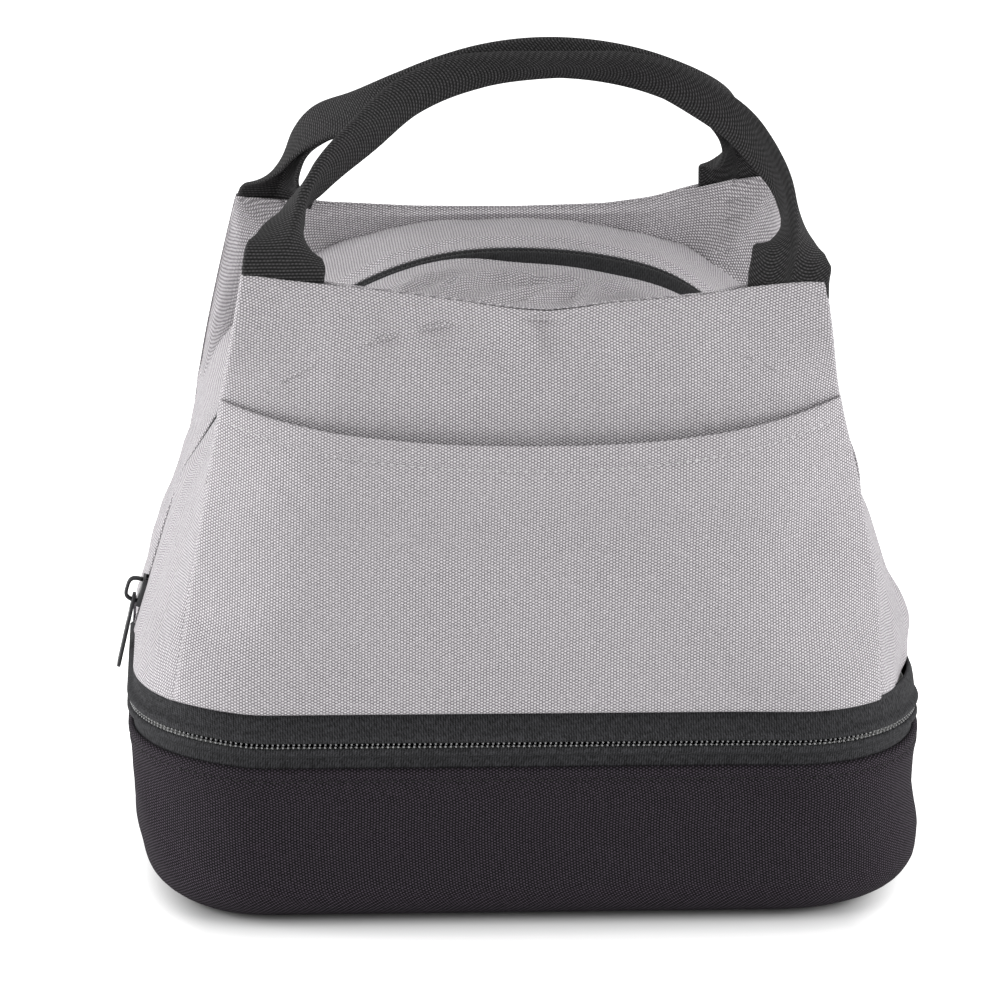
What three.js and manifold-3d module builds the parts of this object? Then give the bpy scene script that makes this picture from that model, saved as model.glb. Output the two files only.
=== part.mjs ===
// Two-compartment insulated lunch bag.
//
// A black base compartment opens at a zip that runs round its front and sides. A tapered upper
// compartment stands on it: a front and a back panel, joined by a gusset that is split all round by
// the main zip. Both panels run on past the domed top as flaps, and each flap holds a web handle.
//
// Millimetres, +Z up. The origin is the middle of the underside. +X is the wearer's view to the right
// of the front panel, +Y points to the back.

import * as THREE from 'three';
import { mergeVertices } from 'three/addons/utils/BufferGeometryUtils.js';
import Module from 'manifold-3d';

const wasm = await Module();
wasm.setup();

// Base compartment
const baseWidth = 262;
const baseDepth = 168;
const baseCornerRadius = 46;
const baseEdgeRadius = 18;
const bottomPanelMargin = 14;

// Heights of the sewn lines above the floor
const zipHeight = 65;
const lowerTapeWidth = 9.2;
const upperTapeWidth = 11.5;

// Upper compartment
const flapWidth = 187;
const flapHeight = 214;
const flapSpacing = 126;
const flapSag = 6.5;
const bodyStepIn = 2;
const seamStepIn = 14.5;
const panelCrown = 2.5;
const springHeight = 140;
const archHeight = 202.5;

// Main zip: a straight run up each side, then a dome with its own roundness at shoulder and top
const zipSpringHeight = 118;
const zipLean = 16;
const domeRise = 5.5;
const domeShoulder = 32;
const domeTop = 80;

// Front slip pocket
const pocketHeight = 163;
const pocketEndRise = 10;
const pocketGap = 6.2;
const pocketSwellHeight = 138;

// Cloth, foam and webbing
const fabric = 1.2;
const foam = 4.5;
const lining = 0.8;
const tapeThickness = 0.8;
const clearance = 0.3;
const layerGap = 0.4;
const dividerFoam = 4.2;

// Handles
const webbingWidth = 25;
const webbingThickness = 1.6;
const gripWidth = 12.5;
const gripThickness = 3.4;
const handleSpacing = 160;
const handleRise = 59;
const webbingTuck = 18;

// Zips
const coilWidth = 2;
const coilThickness = 2;
const coilGap = 1.4;
const mainTapeWidth = 20;
const gussetOpening = 12;

// Zip sliders and pulls
const sliderLength = 10;
const sliderPlate = 1;
const sliderLip = 0.8;
const sliderPost = 0.8;
const bailLength = 9.2;
const bailHeight = 5;
const bailBar = 1.3;
const bailWidth = 2;
const pullLength = 27;
const pullWidth = 6.4;
const pullThickness = 1.2;
const pullRim = 1.4;
const pullEye = 4.2;
const pullSlotStart = 9;
const pullLean = 12.5;
const mainSliderHeight = 88;
const baseZipEnd = 24;
const zipTail = 14;

// Finishes
const greyFabric = new THREE.MeshStandardMaterial({ color: 0xb9b4b8, roughness: 0.9, metalness: 0 });
const blackFabric = new THREE.MeshStandardMaterial({ color: 0x3a363a, roughness: 0.9, metalness: 0 });
const webbing = new THREE.MeshStandardMaterial({ color: 0x2b292c, roughness: 0.8, metalness: 0 });
const zipTape = new THREE.MeshStandardMaterial({ color: 0x2f2e31, roughness: 0.85, metalness: 0 });
const zipCoil = new THREE.MeshStandardMaterial({ color: 0x55555a, roughness: 0.5, metalness: 0 });
const foamSheet = new THREE.MeshStandardMaterial({ color: 0xd8d8d4, roughness: 0.95, metalness: 0 });
const liningFilm = new THREE.MeshStandardMaterial({ color: 0xa9adb2, roughness: 0.35, metalness: 0.3 });
const blackMetal = new THREE.MeshStandardMaterial({ color: 0x202124, roughness: 0.35, metalness: 0.8 });

// Depths below the outer face: outer fabric, foam, lining, and the zip tape under the fabric's edge
const foamTop = fabric + layerGap;
const foamBottom = foamTop + foam;
const liningTop = foamBottom + layerGap;
const liningBottom = liningTop + lining;
const tapeTop = fabric + clearance;
const tapeBottom = tapeTop + tapeThickness;
const coilTop = tapeTop - clearance - coilThickness;
const coilBottom = tapeTop - clearance;

// The base wall is bound to the thickness of fabric and tape, and its foam lies behind both
const baseWallThickness = tapeBottom;
const baseFoamTop = baseWallThickness + clearance;
const baseFoamBottom = baseFoamTop + foam;
const baseLiningTop = baseFoamBottom + clearance;
const baseLiningBottom = baseLiningTop + lining;

// The slider wraps the coil: outer plate, lips beside the coil, a post between the coils, inner plate
const channelTop = coilTop - clearance;
const channelBottom = tapeBottom + clearance;
const plateTop = channelTop - sliderPlate;
const plateBottom = channelBottom + sliderPlate;
const lipInside = coilGap / 2 + coilWidth + clearance;
const sliderHalfWidth = lipInside + sliderLip;

// Sewn lines worked out from the zip's height
const wallTop = zipHeight - lowerTapeWidth;
const bodyFoot = zipHeight + upperTapeWidth + clearance;
const linerTop = zipHeight - sliderHalfWidth - clearance;
const dividerFoot = zipHeight + sliderHalfWidth + clearance;
const seamHalfWidth = baseWidth / 2 - bodyStepIn - seamStepIn;
const bodyHalfWidth = baseWidth / 2 - bodyStepIn;

const sides = { front: -1, rear: 1 };

// Stitches two matching grids of points, an outer and an inner face, into one closed body.
// A ring has its last column joined to its first.
function bodyFromGrids(outer, inner, ring = false) {
  const rows = outer.length;
  const columns = outer[0].length;
  const positions = [];
  for (const grid of [outer, inner]) {
    for (const row of grid) {
      for (const point of row) {
        positions.push(point.x, point.y, point.z);
      }
    }
  }
  const outerAt = (row, column) => row * columns + (column % columns);
  const innerAt = (row, column) => rows * columns + outerAt(row, column);
  const triangles = [];
  const quad = (a, b, c, d) => triangles.push(a, b, c, a, c, d);
  const steps = ring ? columns : columns - 1;
  for (let row = 0; row < rows - 1; row += 1) {
    for (let column = 0; column < steps; column += 1) {
      const [up, next] = [row + 1, column + 1];
      quad(outerAt(row, column), outerAt(row, next), outerAt(up, next), outerAt(up, column));
      quad(innerAt(row, column), innerAt(up, column), innerAt(up, next), innerAt(row, next));
    }
  }
  for (let column = 0; column < steps; column += 1) {
    const [last, next] = [rows - 1, column + 1];
    quad(outerAt(0, column), innerAt(0, column), innerAt(0, next), outerAt(0, next));
    quad(outerAt(last, column), outerAt(last, next), innerAt(last, next), innerAt(last, column));
  }
  if (!ring) {
    for (let row = 0; row < rows - 1; row += 1) {
      const last = columns - 1;
      quad(outerAt(row, 0), outerAt(row + 1, 0), innerAt(row + 1, 0), innerAt(row, 0));
      quad(outerAt(row, last), innerAt(row, last), innerAt(row + 1, last), outerAt(row + 1, last));
    }
  }
  return facingOut(positions, triangles);
}

// A tub: an outer and an inner wall of rings, joined at the rim, each closed by its own flat bottom
function tubFromRings(outer, inner) {
  const rows = outer.length;
  const columns = outer[0].length;
  const positions = [];
  for (const grid of [outer, inner]) {
    for (const row of grid) {
      for (const point of row) {
        positions.push(point.x, point.y, point.z);
      }
    }
  }
  const outerAt = (row, column) => row * columns + (column % columns);
  const innerAt = (row, column) => rows * columns + outerAt(row, column);
  const outerCentre = positions.length / 3;
  positions.push(0, 0, outer[0][0].z);
  const innerCentre = outerCentre + 1;
  positions.push(0, 0, inner[0][0].z);
  const triangles = [];
  const quad = (a, b, c, d) => triangles.push(a, b, c, a, c, d);
  for (let column = 0; column < columns; column += 1) {
    const next = column + 1;
    for (let row = 0; row < rows - 1; row += 1) {
      const up = row + 1;
      quad(outerAt(row, column), outerAt(row, next), outerAt(up, next), outerAt(up, column));
      quad(innerAt(row, column), innerAt(up, column), innerAt(up, next), innerAt(row, next));
    }
    const last = rows - 1;
    quad(outerAt(last, column), outerAt(last, next), innerAt(last, next), innerAt(last, column));
    triangles.push(outerCentre, outerAt(0, next), outerAt(0, column));
    triangles.push(innerCentre, innerAt(0, column), innerAt(0, next));
  }
  return facingOut(positions, triangles);
}

// Turns a closed body's faces outwards, whichever way its grid was written
function facingOut(positions, triangles) {
  let volume = 0;
  const corner = (index) => new THREE.Vector3().fromArray(positions, index * 3);
  for (let i = 0; i < triangles.length; i += 3) {
    const [a, b, c] = [corner(triangles[i]), corner(triangles[i + 1]), corner(triangles[i + 2])];
    volume += a.dot(b.cross(c));
  }
  if (volume < 0) {
    triangles.reverse();
  }
  const geometry = new THREE.BufferGeometry();
  geometry.setAttribute('position', new THREE.Float32BufferAttribute(positions, 3));
  geometry.setIndex(triangles);
  geometry.computeVertexNormals();
  return geometry;
}

function solidFrom(geometry) {
  const plain = geometry.clone();
  plain.deleteAttribute('normal');
  plain.deleteAttribute('uv');
  const merged = mergeVertices(plain, 1e-4);
  return new wasm.Manifold(new wasm.Mesh({
    numProp: 3,
    vertProperties: new Float32Array(merged.attributes.position.array),
    triVerts: new Uint32Array(merged.index.array),
  }));
}

function geometryFrom(solid) {
  const mesh = solid.getMesh();
  const geometry = new THREE.BufferGeometry();
  geometry.setAttribute('position', new THREE.Float32BufferAttribute(mesh.vertProperties, 3));
  geometry.setIndex(Array.from(mesh.triVerts));
  geometry.computeVertexNormals();
  return geometry;
}

function piece(name, geometry, material) {
  const mesh = new THREE.Mesh(geometry, material);
  mesh.name = name;
  return mesh;
}

const mix = THREE.MathUtils.lerp;

// Plan of the bag at a distance inside the base's outer face: a rectangle with round corners.
// The points run from the right side's middle round the front, the left side and the back.
const cornerSteps = 6;
const cornerX = baseWidth / 2 - baseCornerRadius;
const cornerY = baseDepth / 2 - baseCornerRadius;

function quarterPlan(inset) {
  const radius = baseCornerRadius - inset;
  const points = [];
  for (let step = 0; step <= cornerSteps; step += 1) {
    const angle = (step / cornerSteps) * Math.PI / 2;
    points.push(new THREE.Vector2(cornerX + radius * Math.cos(angle), cornerY + radius * Math.sin(angle)));
  }
  return points;
}

function planRing(inset) {
  const quarter = quarterPlan(inset);
  const back = [...quarter].reverse();
  return [
    ...quarter.map((p) => new THREE.Vector2(p.x, -p.y)),
    ...back.map((p) => new THREE.Vector2(-p.x, -p.y)),
    ...quarter.map((p) => new THREE.Vector2(-p.x, p.y)),
    ...back.map((p) => new THREE.Vector2(p.x, p.y)),
  ];
}

// The zip's route: from a point on the right side round the front to the zip's end on the left.
// On the right the tapes and the lower coil run on past the upper coil, under the parked slider.
function zipRoute(inset, rightEnd) {
  const quarter = quarterPlan(inset);
  const side = baseWidth / 2 - inset;
  return [
    new THREE.Vector2(side, rightEnd),
    ...quarter.map((p) => new THREE.Vector2(p.x, -p.y)),
    ...[...quarter].reverse().map((p) => new THREE.Vector2(-p.x, -p.y)),
    new THREE.Vector2(-side, baseZipEnd),
  ];
}

const parkEnd = baseZipEnd + zipTail;

// The rest of the way round, at the back, where the two compartments are joined by cloth
function hingeRoute(inset) {
  const side = baseWidth / 2 - inset;
  const rightEnd = parkEnd + clearance;
  const quarter = quarterPlan(inset);
  return [
    new THREE.Vector2(side, rightEnd),
    ...quarter.filter((p) => p.y > rightEnd),
    ...[...quarter].reverse().map((p) => new THREE.Vector2(-p.x, p.y)),
    new THREE.Vector2(-side, baseZipEnd + clearance),
  ];
}

const raise = (points, z) => points.map((p) => new THREE.Vector3(p.x, p.y, z));

// A band that follows a route: levels are pairs of height and step in from the base's outer face
function band(route, levels, top, bottom, ring = false) {
  const outer = levels.map(([z, stepIn]) => raise(route(top + stepIn), z));
  const inner = levels.map(([z, stepIn]) => raise(route(bottom + stepIn), z));
  return bodyFromGrids(outer, inner, ring);
}

function plate(inset, lowest, thickness) {
  const shape = new THREE.Shape(planRing(inset));
  const geometry = new THREE.ExtrudeGeometry(shape, { depth: thickness, bevelEnabled: false });
  geometry.translate(0, 0, lowest);
  return geometry;
}

// Rings up the round bottom edge and the straight wall, for one layer of the base tub.
// The outer wall starts where it meets the bottom panel, and the inner layers start flat.
const edgeSteps = 3;
const edgeStart = Math.asin((baseEdgeRadius - bottomPanelMargin + clearance) / baseEdgeRadius);

function tubRings(depth, rimHeight, flatBottom) {
  const radius = baseEdgeRadius - depth;
  const angles = flatBottom ? [0] : [];
  for (let step = 0; step <= edgeSteps; step += 1) {
    angles.push(mix(edgeStart, Math.PI / 2, step / edgeSteps));
  }
  const rings = angles.map((angle) => (
    raise(planRing(baseEdgeRadius - radius * Math.sin(angle)), baseEdgeRadius - radius * Math.cos(angle))));
  rings.push(raise(planRing(depth), rimHeight));
  return rings;
}

function baseCompartment() {
  const group = new THREE.Group();
  const wallLayers = [0, baseWallThickness].map((depth) => tubRings(depth, wallTop, false));
  const wall = bodyFromGrids(...wallLayers, true);
  group.add(piece('base_wall', wall, blackFabric));
  const bottomInset = bottomPanelMargin + clearance * 2;
  group.add(piece('base_bottom_panel', plate(bottomInset, 0, baseWallThickness), blackFabric));
  const foamLayers = [baseFoamTop, baseFoamBottom].map((depth) => tubRings(depth, linerTop, true));
  group.add(piece('base_foam', tubFromRings(...foamLayers), foamSheet));
  const linerLayers = [baseLiningTop, baseLiningBottom].map((depth) => tubRings(depth, linerTop, true));
  group.add(piece('base_lining', tubFromRings(...linerLayers), liningFilm));
  return group;
}

// The zip between the compartments. The lower tape and coil run on under the parked slider.
function baseZip() {
  const group = new THREE.Group();
  const innerEdge = coilGap / 2;
  const wholeRoute = (inset) => zipRoute(inset, parkEnd);
  const closedRoute = (inset) => zipRoute(inset, baseZipEnd);
  const lowerTape = [[wallTop + clearance, 0], [zipHeight - innerEdge, 0]];
  const lowerCoil = [[zipHeight - innerEdge - coilWidth, 0], [zipHeight - innerEdge, 0]];
  const upperCoil = [[zipHeight + innerEdge, 0], [zipHeight + innerEdge + coilWidth, 0]];
  const upperTape = tapeLevels(zipHeight + innerEdge);
  group.add(piece('base_zip_tape_lower', band(wholeRoute, lowerTape, tapeTop, tapeBottom), zipTape));
  group.add(piece('base_zip_coil_lower', band(wholeRoute, lowerCoil, coilTop, coilBottom), zipCoil));
  group.add(piece('base_zip_coil_upper', band(closedRoute, upperCoil, coilTop, coilBottom), zipCoil));
  group.add(piece('base_zip_tape_upper', band(wholeRoute, upperTape, tapeTop, tapeBottom), zipTape));
  const leafEdge = clearance / 2;
  const lowerLeaf = [[wallTop + clearance, 0], [zipHeight - leafEdge, 0]];
  const upperLeaf = tapeLevels(zipHeight + leafEdge);
  for (const [half, levels] of [['lower', lowerLeaf], ['upper', upperLeaf]]) {
    const leaf = band(hingeRoute, levels, clearance, tapeBottom);
    group.add(piece(`rear_hinge_leaf_${half}`, leaf, blackFabric));
  }
  return group;
}

// The upper tape stands upright past the slider's reach, then leans in to the foot of the body
function tapeLevels(start) {
  return [[start, 0], [dividerFoot, 0], [bodyFoot - clearance, bodyStepIn]];
}

// The padded floor between the two compartments
function divider() {
  const group = new THREE.Group();
  const inset = tapeBottom + bodyStepIn + clearance;
  const foamFoot = dividerFoot + lining + clearance;
  const topFoot = foamFoot + dividerFoam + clearance;
  group.add(piece('divider_under_lining', plate(inset, dividerFoot, lining), liningFilm));
  group.add(piece('divider_foam', plate(inset, foamFoot, dividerFoam), foamSheet));
  group.add(piece('divider_top_lining', plate(inset, topFoot, lining), liningFilm));
  return group;
}

// How far down from the flap's top a height lies: 0 at the top, 1 at the foot of the body
const dropAt = (z) => THREE.MathUtils.clamp((flapHeight - z) / (flapHeight - bodyFoot), 0, 1);
const flareExponent = 1.2;

function panelHalfWidth(z) {
  return mix(flapWidth / 2, seamHalfWidth, dropAt(z) ** flareExponent);
}

// Half the bag's depth at the foot of the body at a distance from the middle, and half its width
const footRadius = baseCornerRadius - bodyStepIn;
const footHalfDepth = (x) => cornerY + Math.sqrt(footRadius ** 2 - Math.max(0, Math.abs(x) - cornerX) ** 2);
const footHalfWidth = (y) => cornerX + Math.sqrt(footRadius ** 2 - Math.max(0, Math.abs(y) - cornerY) ** 2);

// Distance of a panel's outer face from the middle plane
function panelDepth(x, z) {
  const drop = dropAt(z);
  const across = Math.min(1, Math.abs(x) / panelHalfWidth(z));
  const lean = mix(flapSpacing / 2, footHalfDepth(across * seamHalfWidth), drop);
  return lean + panelCrown * Math.sin(Math.PI * drop) * (1 - across * across);
}

// Height of the flap's edge, which sags between the handles
const sagExponent = 0.7;
const flapEdge = (across) => flapHeight - flapSag * (1 - Math.abs(across) ** sagExponent);

// Stations along the seam arch and the zip's dome, from the right foot over the top to the left foot:
// heights up to the arch's spring, then angles round the arch. Station heights include the parked
// slider's end and the top of the zip's straight run.
const parkedMargin = 2;
const parkedTop = mainSliderHeight + sliderLength / 2 + parkedMargin;
const archStep = 10;

function stations() {
  const right = [{ height: bodyFoot, angle: 0 }];
  let below = bodyFoot;
  for (const height of [parkedTop, zipSpringHeight, springHeight]) {
    right.push({ height: (below + height) / 2, angle: 0 }, { height, angle: 0 });
    below = height;
  }
  for (let angle = archStep; angle < 90; angle += archStep) {
    right.push({ height: springHeight, angle: THREE.MathUtils.degToRad(angle) });
  }
  const left = [...right].reverse().map((station) => ({ ...station, mirror: -1 }));
  const middle = { height: springHeight, angle: Math.PI / 2, mirror: 0 };
  return [...right.map((station) => ({ ...station, mirror: 1 })), middle, ...left];
}

const route = stations();
const parkedStation = route.length - 3;
const archExponent = 0.95;

function seamPoint({ height, angle, mirror }) {
  const x = panelHalfWidth(height) * Math.cos(angle) ** archExponent;
  const z = height + (archHeight - springHeight) * Math.sin(angle) ** archExponent;
  return new THREE.Vector2(mirror * x, z);
}

// The zip's run on the right side, foot to spring, and its dome from there to the middle
const zipFoot = new THREE.Vector2(bodyHalfWidth, bodyFoot);
const zipRun = new THREE.Vector2(-Math.tan(THREE.MathUtils.degToRad(zipLean)), 1);
const zipSpring = zipFoot.clone().addScaledVector(zipRun, zipSpringHeight - bodyFoot);
const zipDome = new THREE.CubicBezierCurve(
  zipSpring,
  zipSpring.clone().addScaledVector(zipRun, domeShoulder),
  new THREE.Vector2(domeTop, archHeight + domeRise),
  new THREE.Vector2(0, archHeight + domeRise),
);

// The dome's parameter at a height just above its start, found by halving
function domeShareAt(height) {
  let [low, high] = [0, 0.5];
  while (high - low > 1e-6) {
    const middle = (low + high) / 2;
    [low, high] = zipDome.getPoint(middle).y < height ? [middle, high] : [low, middle];
  }
  return high;
}

function zipPoint({ height, angle, mirror }) {
  const share = mix(domeShareAt(height), 1, angle / (Math.PI / 2));
  const point = height > zipSpringHeight
    ? zipDome.getPoint(share)
    : zipFoot.clone().addScaledVector(zipRun, height - bodyFoot);
  return new THREE.Vector2(mirror * point.x, point.y);
}

// Outward normals of a line of points that runs from right to left over the top
function outwardNormals(points) {
  return points.map((point, index) => {
    const before = points[Math.max(0, index - 1)];
    const after = points[Math.min(points.length - 1, index + 1)];
    const along = after.clone().sub(before).normalize();
    return new THREE.Vector2(along.y, -along.x);
  });
}

const seamLine = route.map(seamPoint);
const zipLine = route.map(zipPoint);
const seamNormals = outwardNormals(seamLine);
const zipNormals = outwardNormals(zipLine);
const bulgeExponent = 0.8;

// How far the gusset has swelled from the seam (0) to the zip (1). At the foot it follows the base's
// round corner.
function gussetSwell(station, share) {
  const dome = Math.sin((Math.PI / 2) * share) ** bulgeExponent;
  const y = (1 - share) * footHalfDepth(seamHalfWidth);
  const foot = (footHalfWidth(y) - seamHalfWidth) / (bodyHalfWidth - seamHalfWidth);
  return mix(foot, dome, (station.height - bodyFoot) / (springHeight - bodyFoot));
}

// A point of the gusset: between the seam and the zip by its distance from the middle plane,
// and a depth below the outer face
function gussetPoint(index, y, depth, side) {
  const seam = seamLine[index];
  const swell = gussetSwell(route[index], 1 - y / panelDepth(seam.x, seam.y));
  const face = seam.clone().lerp(zipLine[index], swell);
  const normal = seamNormals[index].clone().lerp(zipNormals[index], swell).normalize();
  face.addScaledVector(normal, -depth);
  return new THREE.Vector3(face.x, side * y, Math.max(face.y, bodyFoot));
}

// One layer of a gusset, from a depth behind the panel's face to a distance from the zip's middle
function gussetLayer(side, top, bottom, behind, zipEdge) {
  const shares = [0, 0.07, 0.18, 0.33, 0.5, 0.72, 1];
  const grid = (depth) => shares.map((share) => {
    const row = [];
    for (let index = 0; index < route.length; index += 1) {
      const seam = seamLine[index];
      const y = mix(panelDepth(seam.x, seam.y) - behind, zipEdge, share);
      row.push(gussetPoint(index, y, depth, side));
    }
    return row;
  });
  return bodyFromGrids(grid(top), grid(bottom));
}

// A strip beside the zip's middle, such as a tape or a coil
function zipStrip(side, top, bottom, nearEdge, farEdge, last) {
  const grid = (depth) => [nearEdge, farEdge].map((y) => {
    const row = [];
    for (let index = 0; index <= last; index += 1) {
      row.push(gussetPoint(index, y, depth, side));
    }
    return row;
  });
  return bodyFromGrids(grid(top), grid(bottom));
}

// How far the pocket swells forward of the front panel: not at its side seams or its foot
const pocketEdge = (x) => pocketHeight + pocketEndRise * (x / (flapWidth / 2)) ** 2;
const pocketFillet = 14;

function pocketSwell(x, z) {
  const across = Math.min(1, Math.abs(x) / panelHalfWidth(z));
  const start = pocketSwellHeight - pocketFillet;
  const up = THREE.MathUtils.smoothstep(z, start, pocketSwellHeight + pocketFillet);
  return up * (1 - across ** 4);
}

function panelPoint(side, x, z, depth) {
  return new THREE.Vector3(x, side * (panelDepth(x, z) - depth), z);
}

const acrossStops = [0, 0.2, 0.4, 0.58, 0.7, 0.78, 0.85, 0.9, 0.95, 1];
const acrossShares = [...acrossStops.slice(1).reverse().map((share) => -share), ...acrossStops];

// The outer panel, from the foot of the body to the flap's edge
function outerPanel(side) {
  const levels = [0, 0.12, 0.28, 0.46, 0.64, 0.82, 1];
  const grid = (depth) => levels.map((level) => acrossShares.map((across) => {
    const z = mix(bodyFoot, flapEdge(across), level);
    return panelPoint(side, across * panelHalfWidth(z), z, depth);
  }));
  return bodyFromGrids(grid(0), grid(fabric));
}

// A layer inside the arch: upright columns from the foot of the body to just inside the seam
function archLayer(side, top, bottom, inside) {
  const shortest = 12;
  const columns = seamLine
    .map((seam, index) => seam.clone().addScaledVector(seamNormals[index], -inside))
    .filter((column) => column.y > bodyFoot + shortest);
  const levels = [0, 0.25, 0.52, 0.78, 1];
  const grid = (depth) => levels.map((level) => columns.map((column) => (
    panelPoint(side, column.x, mix(bodyFoot, column.y, level), depth))));
  return bodyFromGrids(grid(top), grid(bottom));
}

// The flap's inner facing, between the arch seam and the flap's edge
const facingTop = fabric + clearance * 2 + webbingThickness;
const facingStart = 30;
const facingCorner = 50;

function flapFacing(side) {
  const columns = [];
  route.forEach(({ angle, mirror }, index) => {
    const degrees = Math.round(THREE.MathUtils.radToDeg(angle));
    if (degrees < facingStart) {
      return;
    }
    const margin = fabric + clearance;
    const inner = seamLine[index].clone().addScaledVector(seamNormals[index], margin);
    const upright = Math.min(1, (degrees - facingStart) / (facingCorner - facingStart));
    const across = degrees <= facingCorner ? 1 : 1 - (degrees - facingCorner) / (90 - facingCorner);
    const z = degrees <= facingCorner
      ? mix(inner.y, flapEdge(1) - clearance, upright)
      : flapEdge(across) - clearance;
    const x = across * (panelHalfWidth(z) - clearance);
    columns.push([inner, new THREE.Vector2(mirror * x, z)]);
  });
  const grid = (depth) => [0, 0.35, 0.7, 1].map((share) => columns.map(([inner, outer]) => {
    const point = inner.clone().lerp(outer, share);
    return panelPoint(side, point.x, point.y, depth);
  }));
  return bodyFromGrids(grid(facingTop), grid(facingTop + lining));
}

// The slip pocket: a second panel from side seam to side seam, open along its curved top edge
function frontPocket() {
  const levels = [0, 0.25, 0.46, 0.6, 0.72, 0.84, 1];
  const grid = (forward) => levels.map((level) => acrossShares.map((across) => {
    const z = mix(bodyFoot, pocketEdge(across * (flapWidth / 2)), level);
    const x = across * panelHalfWidth(z);
    return panelPoint(sides.front, x, z, -forward - pocketGap * pocketSwell(x, z));
  }));
  return bodyFromGrids(grid(clearance + fabric), grid(clearance));
}

// The end of a handle's webbing, tucked between the outer panel and the facing
const tuckTop = flapHeight - clearance / 2;

function webbingEnd(side, mirror) {
  const middle = mirror * handleSpacing / 2;
  const acrossPoints = [-1, -0.33, 0.33, 1].map((share) => middle + share * webbingWidth / 2);
  const levels = [tuckTop - webbingTuck, tuckTop - webbingTuck / 2, tuckTop];
  const depth = fabric + clearance;
  const grid = (layer) => levels.map((z) => acrossPoints.map((x) => panelPoint(side, x, z, layer)));
  return bodyFromGrids(grid(depth), grid(depth + webbingThickness));
}

// A handle: a webbing arch that stands upright at the flap, leans in over the top and stands upright
// again in the grip, where the webbing is folded to half its width
const handleFoot = flapHeight + clearance;
const handleExponent = 0.77;
const flatShare = 0.2;

function handleArch(side) {
  const steps = 24;
  const rootDepth = flapSpacing / 2 - fabric - clearance - webbingThickness / 2;
  const gripDepth = gripThickness / 2 + clearance;
  const top = handleFoot + handleRise;
  const leanAt = (z) => mix(rootDepth, gripDepth, THREE.MathUtils.smoothstep(z, handleFoot, top));
  const centres = [];
  for (let step = 0; step <= steps; step += 1) {
    const angle = (step / steps) * Math.PI;
    const across = Math.sign(Math.cos(angle)) * Math.abs(Math.cos(angle)) ** handleExponent;
    const up = Math.sin(angle) ** handleExponent;
    centres.push(new THREE.Vector2(across * handleSpacing / 2, handleFoot + handleRise * up));
  }
  const normals = outwardNormals(centres);
  normals[0].set(1, 0);
  normals[steps].set(-1, 0);
  const grid = (face) => [1, -1].map((edge) => centres.map((centre, index) => {
    const foldStart = handleFoot + webbingWidth * flatShare;
    const fold = THREE.MathUtils.smoothstep(centre.y, foldStart, handleFoot + webbingWidth);
    const halfWidth = mix(webbingWidth, gripWidth, fold) / 2;
    const halfThickness = mix(webbingThickness, gripThickness, fold) / 2;
    const point = centre.clone().addScaledVector(normals[index], edge * halfWidth);
    const z = Math.max(point.y, handleFoot);
    const slope = leanAt(z + 0.5) - leanAt(z - 0.5);
    const step = (face * halfThickness) / Math.hypot(1, slope);
    return new THREE.Vector3(point.x, side * (leanAt(z) + step), z - step * slope);
  }));
  return bodyFromGrids(grid(1), grid(-1));
}

// Half of the upper compartment: everything on one side of the main zip
function bodyHalf(name) {
  const side = sides[name];
  const group = new THREE.Group();
  const stripEnd = side === sides.front ? parkedStation : route.length - 1;
  const tapeFar = mainTapeWidth / 2;
  const foamEdge = tapeFar + clearance;
  const fabricEdge = gussetOpening / 2;
  const behindPanel = fabric + clearance;
  const behindFoam = foamBottom + layerGap;
  const behindLining = liningBottom + layerGap;
  const gusset = gussetLayer(side, 0, fabric, behindPanel, fabricEdge);
  const gussetFoam = gussetLayer(side, foamTop, foamBottom, behindFoam, foamEdge);
  const gussetLining = gussetLayer(side, liningTop, liningBottom, behindLining, fabricEdge);
  group.add(piece(`${name}_panel`, outerPanel(side), greyFabric));
  group.add(piece(`${name}_panel_foam`, archLayer(side, foamTop, foamBottom, foamTop), foamSheet));
  group.add(piece(`${name}_panel_lining`, archLayer(side, liningTop, liningBottom, liningTop), liningFilm));
  group.add(piece(`${name}_flap_facing`, flapFacing(side), greyFabric));
  group.add(piece(`${name}_gusset`, gusset, greyFabric));
  group.add(piece(`${name}_gusset_foam`, gussetFoam, foamSheet));
  group.add(piece(`${name}_gusset_lining`, gussetLining, liningFilm));
  const coilNear = coilGap / 2;
  const tape = zipStrip(side, tapeTop, tapeBottom, coilNear, tapeFar, stripEnd);
  const coil = zipStrip(side, coilTop, coilBottom, coilNear, coilNear + coilWidth, stripEnd);
  group.add(piece(`main_zip_tape_${name}`, tape, zipTape));
  group.add(piece(`main_zip_coil_${name}`, coil, zipCoil));
  for (const [end, mirror] of [['left', -1], ['right', 1]]) {
    group.add(piece(`${name}_handle_end_${end}`, webbingEnd(side, mirror), webbing));
  }
  return group;
}

const shapeOf = (points) => new THREE.Shape(points.map(([x, y]) => new THREE.Vector2(x, y)));

// A zip slider in its own frame: X into the bag, Y across the coils, Z along the zip
function sliderBody() {
  const post = sliderPost / 2;
  const outline = [
    [plateTop, -sliderHalfWidth],
    [coilBottom, -sliderHalfWidth],
    [coilBottom, -lipInside],
    [channelTop, -lipInside],
    [channelTop, -post],
    [channelBottom, -post],
    [channelBottom, -lipInside],
    [plateBottom, -lipInside],
  ];
  const mirrored = outline.map(([depth, across]) => [depth, -across]).reverse();
  const shape = shapeOf([...outline, ...mirrored]);
  const plates = new THREE.ExtrudeGeometry(shape, { depth: sliderLength, bevelEnabled: false });
  plates.translate(0, 0, -sliderLength / 2);
  return plates;
}

// The bail: an arch over the outer plate, in the plane of the zip's length, with cut corners
const bailCorner = 1.5;
const windowCorner = 0.6;

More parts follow.
